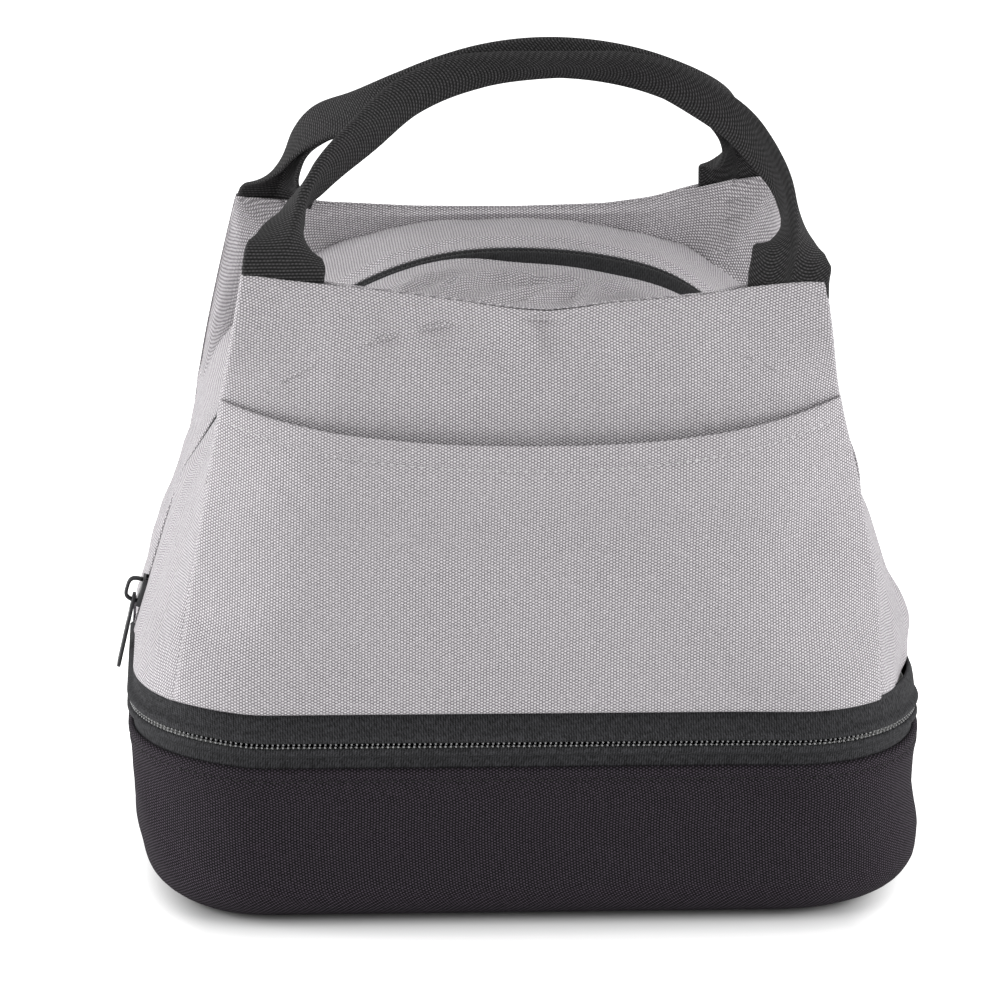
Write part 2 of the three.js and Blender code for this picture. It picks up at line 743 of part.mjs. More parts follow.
function sliderBail() {
  const foot = plateTop + sliderPlate / 2;
  const half = bailLength / 2;
  const crown = plateTop - bailHeight;
  const outer = [[foot, -half], [crown + bailCorner, -half], [crown, -half + bailCorner]];
  const window = half - bailBar;
  const ceiling = crown + bailBar;
  const inner = [[foot, window], [ceiling + windowCorner, window], [ceiling, window - windowCorner]];
  const mirrored = (points) => [...points].reverse().map(([depth, along]) => [depth, -along]);
  const shape = shapeOf([...outer, ...mirrored(outer), ...inner, ...mirrored(inner)]);
  const bail = new THREE.ExtrudeGeometry(shape, { depth: bailWidth, bevelEnabled: false });
  bail.rotateX(Math.PI / 2);
  bail.translate(0, bailWidth / 2, 0);
  return bail;
}

function sliderGeometry() {
  return geometryFrom(solidFrom(sliderBody()).add(solidFrom(sliderBail())));
}

// A pull tab in its own frame: it hangs along -Z from its top bar at the origin, flat across X
function pullGeometry() {
  const half = pullWidth / 2;
  const top = pullRim / 2;
  const foot = top - pullLength;
  const cut = pullWidth / 4;
  const shape = shapeOf([
    [-half, top - cut], [-half + cut, top], [half - cut, top], [half, top - cut],
    [half, foot + cut], [half - cut, foot], [-half + cut, foot], [-half, foot + cut],
  ]);
  const window = half - pullRim;
  const opening = (high, low) => shapeOf([[-window, high], [-window, low], [window, low], [window, high]]);
  shape.holes.push(opening(-top, -top - pullEye));
  shape.holes.push(opening(-pullSlotStart, foot + pullRim));
  const tab = new THREE.ExtrudeGeometry(shape, { depth: pullThickness, bevelEnabled: false });
  tab.translate(0, 0, -pullThickness / 2);
  tab.rotateX(Math.PI / 2);
  tab.rotateZ(Math.PI / 2);
  return tab;
}

// Where the pull's bar lies in the slider's frame: in the lower corner of the bail's opening
const pullBarDepth = plateTop - pullRim / 2 - pullThickness / 2;
const pullBarAlong = -bailLength / 2 + bailBar + pullRim / 2 + layerGap;

// The main slider parks at the foot of the zip's straight run up the left side
function mainSlider() {
  const centre = zipFoot.clone().addScaledVector(zipRun, mainSliderHeight - bodyFoot);
  const group = new THREE.Group();
  group.position.set(-centre.x, 0, centre.y);
  group.rotation.y = THREE.MathUtils.degToRad(zipLean);
  group.add(piece('main_zip_slider', sliderGeometry(), blackMetal));
  const pull = piece('main_zip_pull', pullGeometry(), blackMetal);
  pull.position.set(pullBarDepth, 0, pullBarAlong);
  pull.rotation.y = THREE.MathUtils.degToRad(pullLean - zipLean);
  group.add(pull);
  return group;
}

// The backing behind the parked main slider, sewn to the rear half
function mainZipGarage() {
  const levels = [route.length - 1, route.length - 2, parkedStation];
  const half = gussetOpening / 2 - clearance;
  const top = plateBottom + clearance;
  const grid = (depth) => [-half, 0, half].map((y) => levels.map((index) => {
    const face = zipLine[index].clone().addScaledVector(zipNormals[index], -depth);
    return new THREE.Vector3(face.x, y, Math.max(face.y, bodyFoot + clearance));
  }));
  return bodyFromGrids(grid(top), grid(top + fabric));
}

// The base slider parks at the right side's rear end, with its pull hanging down
function baseSlider() {
  const group = new THREE.Group();
  const inward = new THREE.Vector3(-1, 0, 0);
  const across = new THREE.Vector3(0, 0, 1);
  const along = new THREE.Vector3(0, 1, 0);
  group.position.set(baseWidth / 2, baseZipEnd + zipTail / 2, zipHeight);
  group.quaternion.setFromRotationMatrix(new THREE.Matrix4().makeBasis(inward, across, along));
  group.add(piece('base_zip_slider', sliderGeometry(), blackMetal));
  return group;
}

// The base slider's pull hangs from the crown of its bail, edge on to the bag's side
function basePull() {
  const pull = piece('base_zip_pull', pullGeometry(), blackMetal);
  const crownDepth = plateTop - bailHeight + bailBar / 2;
  const barTop = zipHeight + bailWidth / 2;
  pull.position.set(baseWidth / 2 - crownDepth, baseZipEnd + zipTail / 2, barTop + clearance + pullRim / 2);
  pull.rotation.z = Math.PI / 2;
  return pull;
}

const bag = new THREE.Group();
bag.add(baseCompartment());
bag.add(baseZip());
bag.add(divider());
bag.add(bodyHalf('front'));
bag.add(piece('front_pocket', frontPocket(), greyFabric));
bag.add(bodyHalf('rear'));
bag.add(piece('main_zip_garage', mainZipGarage(), zipTape));
bag.add(piece('front_handle', handleArch(sides.front), webbing));
bag.add(piece('rear_handle', handleArch(sides.rear), webbing));
bag.add(mainSlider());
bag.add(baseSlider());
bag.add(basePull());

export default bag;
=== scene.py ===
"""Looks of the two-compartment insulated lunch bag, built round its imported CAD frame.

Sizes are millimetres until a mesh is made, and the frame is the CAD's: +Z up, +Y to the back.
"""

import itertools
import math

import bmesh
import bpy
import numpy as np
from mathutils import Matrix, Vector


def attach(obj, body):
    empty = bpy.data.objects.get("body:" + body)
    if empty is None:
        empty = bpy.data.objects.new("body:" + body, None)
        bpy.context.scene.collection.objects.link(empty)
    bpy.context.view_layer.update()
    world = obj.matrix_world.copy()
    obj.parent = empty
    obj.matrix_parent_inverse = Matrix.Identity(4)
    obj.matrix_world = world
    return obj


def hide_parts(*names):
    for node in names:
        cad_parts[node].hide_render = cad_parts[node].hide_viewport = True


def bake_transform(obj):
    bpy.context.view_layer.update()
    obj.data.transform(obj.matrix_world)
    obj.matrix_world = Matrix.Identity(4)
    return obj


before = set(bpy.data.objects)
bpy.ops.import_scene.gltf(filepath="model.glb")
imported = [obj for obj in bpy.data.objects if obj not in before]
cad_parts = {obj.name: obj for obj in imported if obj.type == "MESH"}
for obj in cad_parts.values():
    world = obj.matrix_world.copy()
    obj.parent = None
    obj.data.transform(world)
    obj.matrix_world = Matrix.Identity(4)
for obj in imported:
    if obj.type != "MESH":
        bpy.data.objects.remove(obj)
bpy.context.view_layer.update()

# Camera. It stands a little to the left of the bag's middle and looks down on it, from a metre and
# a half away.
camera_yaw, camera_pitch, camera_roll = (math.radians(a) for a in (-3.911, 18.177, 0.928))
camera_aim = Vector((-0.01057, 0, 0.12008))
camera_distance = 1.4034
camera_back = Vector((
    math.sin(camera_yaw) * math.cos(camera_pitch),
    -math.cos(camera_yaw) * math.cos(camera_pitch),
    math.sin(camera_pitch),
))
level_right = (-camera_back).cross(Vector((0, 0, 1))).normalized()
level_up = level_right.cross(-camera_back)
camera_right = level_right * math.cos(camera_roll) + level_up * math.sin(camera_roll)
camera_up = level_up * math.cos(camera_roll) - level_right * math.sin(camera_roll)
camera = bpy.data.objects.new("camera", bpy.data.cameras.new("camera"))
camera.data.sensor_width = 36
camera.data.lens = 148.83
camera.data.shift_x = 0.0148
camera.data.clip_start, camera.data.clip_end = 0.05, 50
place = Matrix((camera_right, camera_up, camera_back)).transposed().to_4x4()
place.translation = camera_aim + camera_back * camera_distance
camera.matrix_world = place
bpy.context.scene.collection.objects.link(camera)
bpy.context.scene.camera = camera
bpy.context.scene.view_settings.view_transform = "Standard"


# Studio. A white floor without an end and a soft white tent, brighter from the two sides than from
# the front, so that both sides of the bag are lit more than its middle.
class Wire:
    """A socket of a finish's nodes. An operator on it adds a Math node."""

    def __init__(self, finish, socket):
        self.finish, self.socket = finish, socket

    def __add__(self, other):
        return self.finish.maths("ADD", self, other)

    def __sub__(self, other):
        return self.finish.maths("SUBTRACT", self, other)

    def __rsub__(self, other):
        return self.finish.maths("SUBTRACT", other, self)

    def __mul__(self, other):
        return self.finish.maths("MULTIPLY", self, other)

    def __pow__(self, other):
        return self.finish.maths("POWER", self, other)

    __radd__, __rmul__ = __add__, __mul__

    def held(self):
        """The same value, kept between 0 and 1."""
        return self.finish.maths("MINIMUM", self.finish.maths("MAXIMUM", self, 0.0), 1.0)


class Finish:
    """A material's nodes, or the world's, and the socket values of its main shader."""

    def __init__(self, owner, shader="Principled BSDF", **constants):
        self.material = owner if not isinstance(owner, str) else bpy.data.materials.new(owner)
        self.material.use_nodes = True
        self.tree = self.material.node_tree
        self.shader = self.tree.nodes[shader]
        for name, value in constants.items():
            self.shader.inputs[name.replace("_", " ")].default_value = value

    def node(self, kind, settings=None, values=(), output=0):
        made = self.tree.nodes.new(kind)
        for name, value in (settings or {}).items():
            if name == "stops":
                for index, (position, colour) in enumerate(value):
                    stops = made.color_ramp.elements
                    stop = stops[index] if index < 2 else stops.new(position)
                    stop.position, stop.color = position, colour
            else:
                setattr(made, name, value)
        for key, value in values.items() if isinstance(values, dict) else enumerate(values):
            self.plug(value, made.inputs[key])
        return Wire(self, made.outputs[output])

    def plug(self, value, socket):
        if isinstance(value, Wire):
            self.tree.links.new(value.socket, socket)
        else:
            socket.default_value = value

    def feed(self, name, value):
        """Gives a value or a link to a socket of the main shader."""
        self.plug(value, self.shader.inputs[name])

    def maths(self, operation, *values):
        return self.node("ShaderNodeMath", {"operation": operation}, values)

    def cosine(self, value):
        return self.maths("COSINE", value)

    def mixed(self, share, colour, other):
        return self.node("ShaderNodeMix", {"data_type": "RGBA"}, {0: share, 6: colour, 7: other}, 2)

    def ramped(self, value, low, high):
        """0 below a value, 1 above another, and a soft step between them."""
        values = {0: value, 1: low, 2: high}
        return self.node("ShaderNodeMapRange", {"interpolation_type": "SMOOTHSTEP"}, values)

    def noise(self, scale, detail=2.0, stretch=(1, 1, 1)):
        place = self.node("ShaderNodeTexCoord", output="Object")
        place = self.node("ShaderNodeMapping", {}, {"Vector": place, "Scale": stretch})
        return self.node("ShaderNodeTexNoise", {}, {"Vector": place, "Scale": scale, "Detail": detail})

    def cut(self):
        """Millimetres across and along the cloth, from its own cutting map."""
        split = {"Vector": self.node("ShaderNodeUVMap", {"uv_map": "cut"})}
        return [self.node("ShaderNodeSeparateXYZ", {}, split, axis) * 1000 for axis in range(2)]

    def raised(self, height, distance, strength=1.0):
        bump = {"Height": height, "Distance": distance, "Strength": strength}
        self.feed("Normal", self.node("ShaderNodeBump", {}, bump))


world = Finish(bpy.data.worlds.new("tent"), "Background")
bpy.context.scene.world = world.material
seen = [world.node("ShaderNodeLightPath", output=ray) for ray in ("Is Camera Ray", "Is Transmission Ray")]
seen_directly = world.maths("MINIMUM", seen[0] + seen[1], 1.0)
tent_level = 0.54
world.feed("Color", (1, 1, 1, 1))
world.feed("Strength", seen_directly * (1 - tent_level) + tent_level)

for name, spot, aim_height, size, power in (
    ("left_softbox", (-1.3, -0.2, 0.5), 0.12, 1.0, 21.0),
    ("right_softbox", (1.3, -0.4, 0.5), 0.12, 1.0, 18.5),
    ("overhead_softbox", (0, 0.1, 1.5), 0.1, 1.2, 5.0),
):
    light = bpy.data.lights.new(name, "AREA")
    light.size, light.energy = size, power
    holder = bpy.data.objects.new(name, light)
    holder.location = spot
    way = Vector((0, 0, aim_height)) - Vector(spot)
    holder.rotation_euler = way.to_track_quat("-Z", "Y").to_euler()
    bpy.context.scene.collection.objects.link(holder)

floor_finish = Finish("floor_paper", Roughness=0.9, Specular_IOR_Level=0, Emission_Strength=1.0)
spot = {"Vector": floor_finish.node("ShaderNodeTexCoord", output="Object")}
spot = [floor_finish.node("ShaderNodeSeparateXYZ", {}, spot, axis) for axis in range(2)]
flat_half_width, flat_half_depth, corner_reach = 0.085, 0.038, 0.028
beyond = [floor_finish.maths("MAXIMUM", floor_finish.maths("ABSOLUTE", way) - reach, 0.0)
          for way, reach in zip(spot, (flat_half_width, flat_half_depth))]
from_foot = floor_finish.maths("SQRT", beyond[0] ** 2.0 + beyond[1] ** 2.0) - corner_reach
# Painted shadow: near the bag's foot the floor's colour is darkened from 0.98 to 0.2 by distance from the
# footprint, a contact shadow painted in besides the real one.
past_painted_shadow = floor_finish.ramped(from_foot, -0.006, 0.03)
floor_finish.feed("Base Color", floor_finish.mixed(past_painted_shadow, (0.2, 0.2, 0.2, 1), (0.98, 0.98, 0.98, 1)))
# Painted light: for camera rays only, the floor glows with up to 0.7 of white in front of the bag past the
# painted shadow, and beside the bag, which brightens away the real shadow there.
in_front, beside = floor_finish.ramped(from_foot, 0.02, 0.068), floor_finish.ramped(beyond[0], 0.018, 0.05)
painted_glow_share = floor_finish.maths("MAXIMUM", in_front, beside)
floor_seen = floor_finish.node("ShaderNodeLightPath", output="Is Camera Ray")
painted_floor_glow = floor_finish.mixed(painted_glow_share * floor_seen, (0, 0, 0, 1), (0.7, 0.7, 0.7, 1))
floor_finish.feed("Emission Color", painted_floor_glow)
floor_mesh = bpy.data.meshes.new("floor")
floor_mesh.from_pydata([(-20, -20, 0), (20, -20, 0), (20, 20, 0), (-20, 20, 0)], [], [(0, 1, 2, 3)])
floor = bpy.data.objects.new("floor", floor_mesh)
floor_mesh.materials.append(floor_finish.material)
bpy.context.scene.collection.objects.link(floor)

# Base compartment's wall. One band of black woven polyester goes round the bag, rolls under at the
# foot and meets the zip at its top in a narrow turned hem with a row of stitches.
base_width, base_depth = 262, 168
corner_radius, edge_radius = 46, 18
corner_x, corner_y = base_width / 2 - corner_radius, base_depth / 2 - corner_radius
fabric, tape = 1.2, 0.8
clearance, layer_gap = 0.3, 0.4
zip_height = 65
wall_top, body_foot = 55.8, 76.8
wall_thickness = 2.3
floor_margin = 14


def mix(low, high, share):
    return low + (high - low) * share


def smooth(value, start, end):
    share = np.clip((np.asarray(value, float) - start) / (end - start), 0, 1)
    return share * share * (3 - 2 * share)


def bell(value, middle, reach):
    """1 at a value, falling off softly on both sides of it."""
    return np.exp(-(((value - middle) / reach) ** 2))


def waves(across, along, length, seed, parts=7):
    """Soft unevenness between about -1 and 1, with wrinkles of roughly that length."""
    chance = np.random.default_rng(seed)
    total = 0
    for _ in range(parts):
        turn, phase = chance.uniform(0, math.pi), chance.uniform(0, 2 * math.pi)
        pitch = 2 * math.pi / (length * chance.uniform(0.7, 1.6))
        total = total + np.cos((across * math.cos(turn) + along * math.sin(turn)) * pitch + phase)
    return total / parts * 1.6


def ridges(x, z, folds):
    """Height of the creases through a place: each runs from one point to another."""
    total = np.zeros(np.broadcast(x, z).shape)
    for x0, z0, x1, z1, reach, height in folds:
        dx, dz = x1 - x0, z1 - z0
        span = dx * dx + dz * dz + 1e-9
        share = np.clip(((x - x0) * dx + (z - z0) * dz) / span, 0, 1)
        away = np.hypot(x - x0 - share * dx, z - z0 - share * dz)
        ends = 1 - 0.55 * np.abs(2 * share - 1) ** 2
        total = total + height * ends * bell(away, 0, reach)
    return total


def new_piece(name, points, faces, finish, corner_uv=None):
    """An object from millimetre points, its closed faces turned outwards."""
    points = np.asarray(points, float) * 0.001
    faces = [tuple(int(i) for i in face) for face in faces]
    volume = 0.0
    for face in faces:
        a = points[face[0]]
        for i in range(1, len(face) - 1):
            volume += float(a @ np.cross(points[face[i]], points[face[i + 1]]))
    if volume < 0:
        faces = [face[::-1] for face in faces]
        corner_uv = None if corner_uv is None else [corner[::-1] for corner in corner_uv]
    mesh = bpy.data.meshes.new(name)
    mesh.from_pydata(points.tolist(), [], faces)
    if corner_uv is not None:
        places = np.array([place for face_uv in corner_uv for place in face_uv], np.float32)
        mesh.uv_layers.new(name="cut").data.foreach_set("uv", places.ravel() * 0.001)
    mesh.shade_smooth()
    mesh.materials.append(finish.material)
    made = bpy.data.objects.new(name, mesh)
    bpy.context.scene.collection.objects.link(made)
    return made


def lengths(grid, axis):
    steps = np.linalg.norm(np.diff(grid, axis=axis), axis=2)
    zero = np.zeros_like(np.take(steps, [0], axis=axis))
    return np.cumsum(np.concatenate([zero, steps], axis=axis), axis=axis)


def cloth_body(name, face, back, finish, ring=False, soften=0.45):
    """A closed body of cloth between two matching grids of points, with rounded cut edges. Its
    cutting map has the cloth's real lengths. A ring's last column joins its first."""
    rows, columns = face.shape[:2]
    wide = np.concatenate([face, face[:, :1]], axis=1) if ring else face
    across, along = lengths(wide, 1), lengths(wide, 0)
    middle = wide.shape[1] // 2
    across = across - across[:, middle:middle + 1]
    points = [*face.reshape(-1, 3), *back.reshape(-1, 3)]
    faces, corner_uv = [], []
    steps = columns if ring else columns - 1
    thick = float(np.median(np.linalg.norm(face - back, axis=2)))

    def at(row, column, layer=0):
        return layer * rows * columns + row * columns + column % columns

    def uv(row, column, beyond=0.0):
        """A place in the cutting map, or one that far past the cloth's edge."""
        u, v = across[row, column], along[row, column]
        if beyond:
            inner_row = min(max(row, 1), rows - 2)
            inner_column = column if ring else min(max(column, 1), columns - 2)
            du, dv = u - across[inner_row, inner_column], v - along[inner_row, inner_column]
            span = max(math.hypot(du, dv), 1e-6)
            u, v = u + du / span * beyond, v + dv / span * beyond
        return u, v

    for row in range(rows - 1):
        for column in range(steps):
            spots = [(row, column), (row, column + 1), (row + 1, column + 1), (row + 1, column)]
            faces.append([at(*s) for s in spots])
            corner_uv.append([uv(*s) for s in spots])
            faces.append([at(*s, 1) for s in spots[::-1]])
            corner_uv.append([uv(*s) for s in spots[::-1]])
    last_row, last = rows - 1, columns - 1
    if ring:
        loops = [[(0, c) for c in range(columns + 1)], [(last_row, c) for c in range(columns, -1, -1)]]
    else:
        loops = [[(0, c) for c in range(last)] + [(r, last) for r in range(last_row)]
                 + [(last_row, c) for c in range(last, 0, -1)] + [(r, 0) for r in range(last_row, -1, -1)]]
    for loop in loops:
        rim = []
        for row, column in loop[:-1]:
            c = column % columns
            inner_row = min(max(row, 1), last_row - 1)
            inner_column = c if ring else min(max(c, 1), last - 1)
            edge, behind = face[row, c], back[row, c]
            out = edge - face[inner_row, inner_column]
            out = out / max(np.linalg.norm(out), 1e-6)
            points.append((edge + behind) / 2 + out * np.linalg.norm(edge - behind) * soften)
            rim.append(len(points) - 1)
        rim.append(rim[0])
        for i in range(len(loop) - 1):
            (r0, c0), (r1, c1) = loop[i], loop[i + 1]
            faces.append([at(r1, c1), at(r0, c0), rim[i], rim[i + 1]])
            faces.append([rim[i + 1], rim[i], at(r0, c0, 1), at(r1, c1, 1)])
            near, far = thick * 0.65, thick * 1.3
            corner_uv.append([uv(r1, c1), uv(r0, c0), uv(r0, c0, near), uv(r1, c1, near)])
            corner_uv.append([uv(r1, c1, near), uv(r0, c0, near), uv(r0, c0, far), uv(r1, c1, far)])
    return new_piece(name, points, faces, finish, corner_uv)


column_pitch, half_dot = 0.96, 0.5


def woven(name, gap, dot, tint, slub, height=0.00022, keen=0.75, **constants):
    """Coarse plain weave: upright columns of raised dots of yarn, each column half a dot lower
    than the last, between dark gaps. Slub is how much of a third colour shows in patches."""
    finish = Finish(name, **constants)
    across, along = finish.cut()
    across = across + (finish.noise(260, 2) - 0.5) * 0.22
    along = along + (finish.noise(210, 1) - 0.5) * 0.2
    lane = finish.cosine(across * (math.pi / column_pitch))
    knuckle = finish.maths("SIGN", lane) * finish.cosine(along * (math.pi / half_dot)) * 0.5 + 0.5
    yarn = finish.noise(1100, 1)
    share = finish.maths("ABSOLUTE", lane) ** keen * knuckle ** keen
    share = (share + (yarn - 0.5) * 0.34).held()
    colour = finish.mixed(share, gap, dot)
    patch = finish.noise(28, 3)
    finish.feed("Base Color", finish.mixed((patch - 0.5) * slub * 8 + slub, colour, tint))
    finish.feed("Roughness", 0.92 - share * 0.14)
    finish.raised(share, height, 0.7)
    return finish


black_cloth = woven(
    "black_cloth", (0.0006, 0.0004, 0.0008, 1), (0.073, 0.057, 0.076, 1), (0.017, 0.0135, 0.018, 1),
    slub=0.02, keen=1.5, Specular_IOR_Level=0.2)

plan_steps = 28


def quarter(inset, steps=plan_steps):
    angle = np.linspace(0, math.pi / 2, steps + 1)
    radius = corner_radius - inset
    return corner_x + radius * np.cos(angle), corner_y + radius * np.sin(angle)


def filled(start, end, step=3.0):
    """Points between two ends, both left out, at about that step."""
    count = max(1, int(round(np.linalg.norm(np.subtract(end, start)) / step)))
    share = np.arange(1, count) / count
    return np.stack([mix(start[0], end[0], share), mix(start[1], end[1], share)], 1)


def plan_ring(inset, steps=plan_steps, step=3.0):
    """The bag's plan at that distance inside the base's face, from the right side round the front."""
    x, y = quarter(inset, steps)
    corners = [np.stack([x, -y], 1), np.stack([-x[::-1], -y[::-1]], 1),
               np.stack([-x, y], 1), np.stack([x[::-1], y[::-1]], 1)]
    parts = []
    for index, corner in enumerate(corners):
        following = corners[(index + 1) % 4]
        parts += [corner, filled(corner[-1], following[0], step)]
    return np.concatenate(parts)


foot_draw_in = 4.6


def shaped_base(points):
    """The filled base isn't quite upright: it draws in to its foot on the left and swells on the
    right, and its cloth is a little uneven."""
    x, y, z = points[..., 0], points[..., 1], points[..., 2]
    low = np.clip((wall_top - z) / wall_top, 0, 1)
    left = foot_draw_in * smooth(-x, 84, 128) * low ** 1.15
    round_x, round_y = x - np.clip(x, -corner_x, corner_x), y - np.clip(y, -corner_y, corner_y)
    away = np.maximum(np.hypot(round_x, round_y), 1e-6)
    around = np.arctan2(y, x) * 120
    body = smooth(z, 3, 16) * smooth(z, wall_top + 0.5, wall_top - 12)
    broad, fine = waves(around, z * 1.3, 34, 4), waves(around * 0.8 + z * 0.8, z * 0.6, 19, 9)
    uneven = body * (0.75 * broad + 0.5 * fine)
    moved = points.copy()
    moved[..., 0] += left + round_x / away * uneven
    moved[..., 1] += round_y / away * uneven
    return settled(pushed(moved))


right_swell = ((0, 3.4), (10, 4.4), (18, 4.0), (26, 2.9), (34, 2.2), (42, 2.5), (50, 2.7), (58, 2.3),
               (66, 2.1), (70, 2.6), (74, 3.4), (77, 2.2))


def pushed(points):
    """The base and its zip swell out to the right, by an amount at each height, but keep straight
    where the slider runs."""
    x, y, z = points[..., 0], points[..., 1], points[..., 2]
    moved = points.copy()
    begin = np.interp(z, (50, 58, 69, 73), (-28, 32, 32, -36))
    share = smooth(x, 84, 128) * smooth(-y, begin, begin + 22)
    moved[..., 0] += share * np.interp(z, *np.transpose(right_swell))
    return moved


def settled(points):
    """The zip and what lies next to it hang a millimetre low round the front."""
    x, y, z = points[..., 0], points[..., 1], points[..., 2]
    share = smooth(-y, 25, 70) * smooth(z, 38, 56) * smooth(z, 112, 82)
    moved = points.copy()
    moved[..., 2] -= share * (1.1 * smooth(x, -112, -84) + 0.5 * smooth(x, 60, 110))
    return moved


foot_power = 0.74


def wall_rings(depth, top, steps=12, rise=1.6):
    """Rings up the base's round foot and its wall, at a depth below the outer face."""
    radius = edge_radius - depth
    left_open = (edge_radius - floor_margin + clearance) / edge_radius
    angles = np.linspace(math.asin(left_open ** (1 / foot_power)), math.pi / 2, steps + 1)
    rings = [(edge_radius - radius * math.sin(a) ** foot_power,
              edge_radius - radius * max(0.0, math.cos(a)) ** foot_power) for a in angles]
    count = int(round((top - edge_radius) / rise))
    rings += [(depth, mix(edge_radius, top, (i + 1) / count)) for i in range(count)]
    return np.stack([at_height(plan_ring(inset), z) for inset, z in rings])


def at_height(plan, z):
    return np.column_stack([plan, np.full(len(plan), z)])


def outward_of(line):
    """Outward directions of points round the bag's plan, level with the floor."""
    corner = np.clip(line[..., :2], (-corner_x, -corner_y), (corner_x, corner_y))
    out = np.concatenate([line[..., :2] - corner, np.zeros_like(line[..., :1])], -1)
    return out / np.maximum(np.linalg.norm(out, axis=-1, keepdims=True), 1e-6)


hem_stitch_height = wall_top - 3.2
wall_face, wall_back = wall_rings(0, wall_top), wall_rings(wall_thickness, wall_top)
height = wall_face[..., 2:]
hem = 0.35 * smooth(height, wall_top - 5.2, wall_top - 4.4) - 0.45 * bell(height, hem_stitch_height, 0.7)
hem_row = int(np.argmin(np.abs(height[:, 0, 0] - hem_stitch_height)))
wall_face = wall_face + outward_of(wall_face) * hem
wall_face, wall_back = shaped_base(wall_face), shaped_base(wall_back)
base_wall = cloth_body("base_wall_cloth", wall_face, wall_back, black_cloth, ring=True)
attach(base_wall, "base")
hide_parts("base_wall")

# Base's floor panel. A black woven piece with a stiffener under it, sewn in along the foot's roll.
coarse_ring = {"steps": 10, "step": 8.0}


def capped(made, rows, count, row, heights, flat_map=False):
    """Fills the hole in both faces of a ring of cloth, at its first or last row, with a fan."""
    work = bmesh.new()
    work.from_mesh(made.data)
    rim = 2 * rows * count + (count if row else 0)
    work.verts.ensure_lookup_table()
    bmesh.ops.delete(work, geom=work.verts[rim:rim + count], context="VERTS")
    for layer, height in enumerate(heights):
        centre = work.verts.new((0, 0, height * 0.001))
        work.verts.ensure_lookup_table()
        loop = work.verts[(layer * rows + row) * count:(layer * rows + row + 1) * count]
        for a, b in zip(loop, loop[1:] + loop[:1]):
            work.faces.new((b, a, centre) if layer else (a, b, centre)).smooth = True
    bmesh.ops.recalc_face_normals(work, faces=work.faces)
    cut = work.loops.layers.uv["cut"]
    for face in work.faces if flat_map else ():
        for corner in face.loops:
            corner[cut].uv = corner.vert.co.xy
    work.to_mesh(made.data)
    work.free()
    return made


def plate(name, inset, low, high, finish, rings=9):
    """A flat closed piece in the bag's plan, from rings that shrink to its middle."""
    outline = plan_ring(inset, **coarse_ring)
    top, under = [np.stack([at_height(outline * share, z) for share in np.linspace(1, 0.03, rings)])
                  for z in (high, low)]
    made = cloth_body(name, top, under, finish, ring=True, soften=0.3)
    return capped(made, rings, len(outline), rings - 1, (high, low), flat_map=True)


base_floor = plate("base_floor_cloth", floor_margin + clearance, 0.0, wall_thickness, black_cloth)
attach(base_floor, "base")
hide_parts("base_bottom_panel")

# Padding and lining of the base. White foam sheet behind the wall and on the floor, and a silver
# heat-reflecting film inside it, both bent up from the floor into a tub.
def speckled(name, scale, detail, dark, light, stretch=(1, 1, 1), **constants):
    """A finish whose colour wanders between two, and the noise that it wanders with."""
    finish = Finish(name, **constants)
    spots = finish.noise(scale, detail, stretch)
    finish.feed("Base Color", finish.mixed(spots, (*dark, 1), (*light, 1)))
    return finish, spots


foam_white, bubbles = speckled(
    "foam_white", 900, 3, (0.62, 0.62, 0.6), (0.78, 0.78, 0.76), Roughness=0.95, Specular_IOR_Level=0.2)
foam_white.raised(bubbles, 0.0003, 0.5)
silver_film, creases = speckled(
    "silver_film", 55, 4, (0.42, 0.44, 0.46), (0.62, 0.64, 0.66), (1, 1, 1.4), Metallic=0.35,
    Specular_IOR_Level=0.6)
silver_film.feed("Roughness", creases * 0.25 + 0.22)
silver_film.raised(creases, 0.0009, 0.6)


def tub(name, outer_depth, inner_depth, top, finish, steps=6, courses=9):
    """A closed tub, from rings up its round foot and its wall."""
    def layer(depth):
        radius = edge_radius - depth
        rings = [(edge_radius - radius * math.sin(a), edge_radius - radius * math.cos(a))
                 for a in np.linspace(0, math.pi / 2, steps + 1)]
        rings += [(depth, mix(edge_radius, top, (i + 1) / courses)) for i in range(courses)]
        return shaped_base(np.stack([at_height(plan_ring(inset, **coarse_ring), z) for inset, z in rings]))

    outer, inner = layer(outer_depth), layer(inner_depth)
    made = cloth_body(name, outer, inner, finish, ring=True)
    return capped(made, *outer.shape[:2], 0, (outer_depth, inner_depth))


liner_top = 60.9
base_foam = tub("base_padding", 2.6, 7.1, liner_top, foam_white)
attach(base_foam, "base")
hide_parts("base_foam")
base_liner = tub("base_liner", 7.4, 8.2, liner_top, silver_film)
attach(base_liner, "base")
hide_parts("base_lining")

# Zip between the compartments. Black tape with its coil turned to the inside, so that only the
# heads of the teeth show, as two rows of pale grains. The lower half belongs to the base.
base_zip_end, park_end = 24, 38
hidden_depth = 2.3


def tape_weave(name, pale):
    """Fine woven tape: cross ribs, with a twill of dots beside the teeth."""
    finish = Finish(name, Specular_IOR_Level=0.3)
    along, across = finish.cut()

    def wave(value):
        return finish.cosine(value * (2 * math.pi))

    ribs = wave(along * (1 / 0.8)) * 0.5 + 0.5
    twill = wave(along * (1 / 1.1) + across * (1 / 1.6)) * wave(across * (1 / 0.95)) * 0.5 + 0.5
    worn = finish.noise(1000, 2)
    share = (ribs * 0.5 + twill * 0.55 + (worn - 0.5) * 1.3 - 0.15).held()
    colour = finish.mixed(share, (0.0015, 0.0015, 0.0017, 1), (pale, pale, pale * 1.1, 1))
    finish.feed("Base Color", colour)
    finish.feed("Roughness", 0.9 - share * 0.12)
    finish.raised(share, 0.00012, 0.6)
    return finish


zip_cloth = tape_weave("zip_tape_cloth", 0.045)


def along_route(route, levels):
    """A grid of rows that follow a route round the bag. Levels are height and distance inside."""
    return settled(pushed(np.stack([at_height(route(inset), z) for z, inset in levels])))


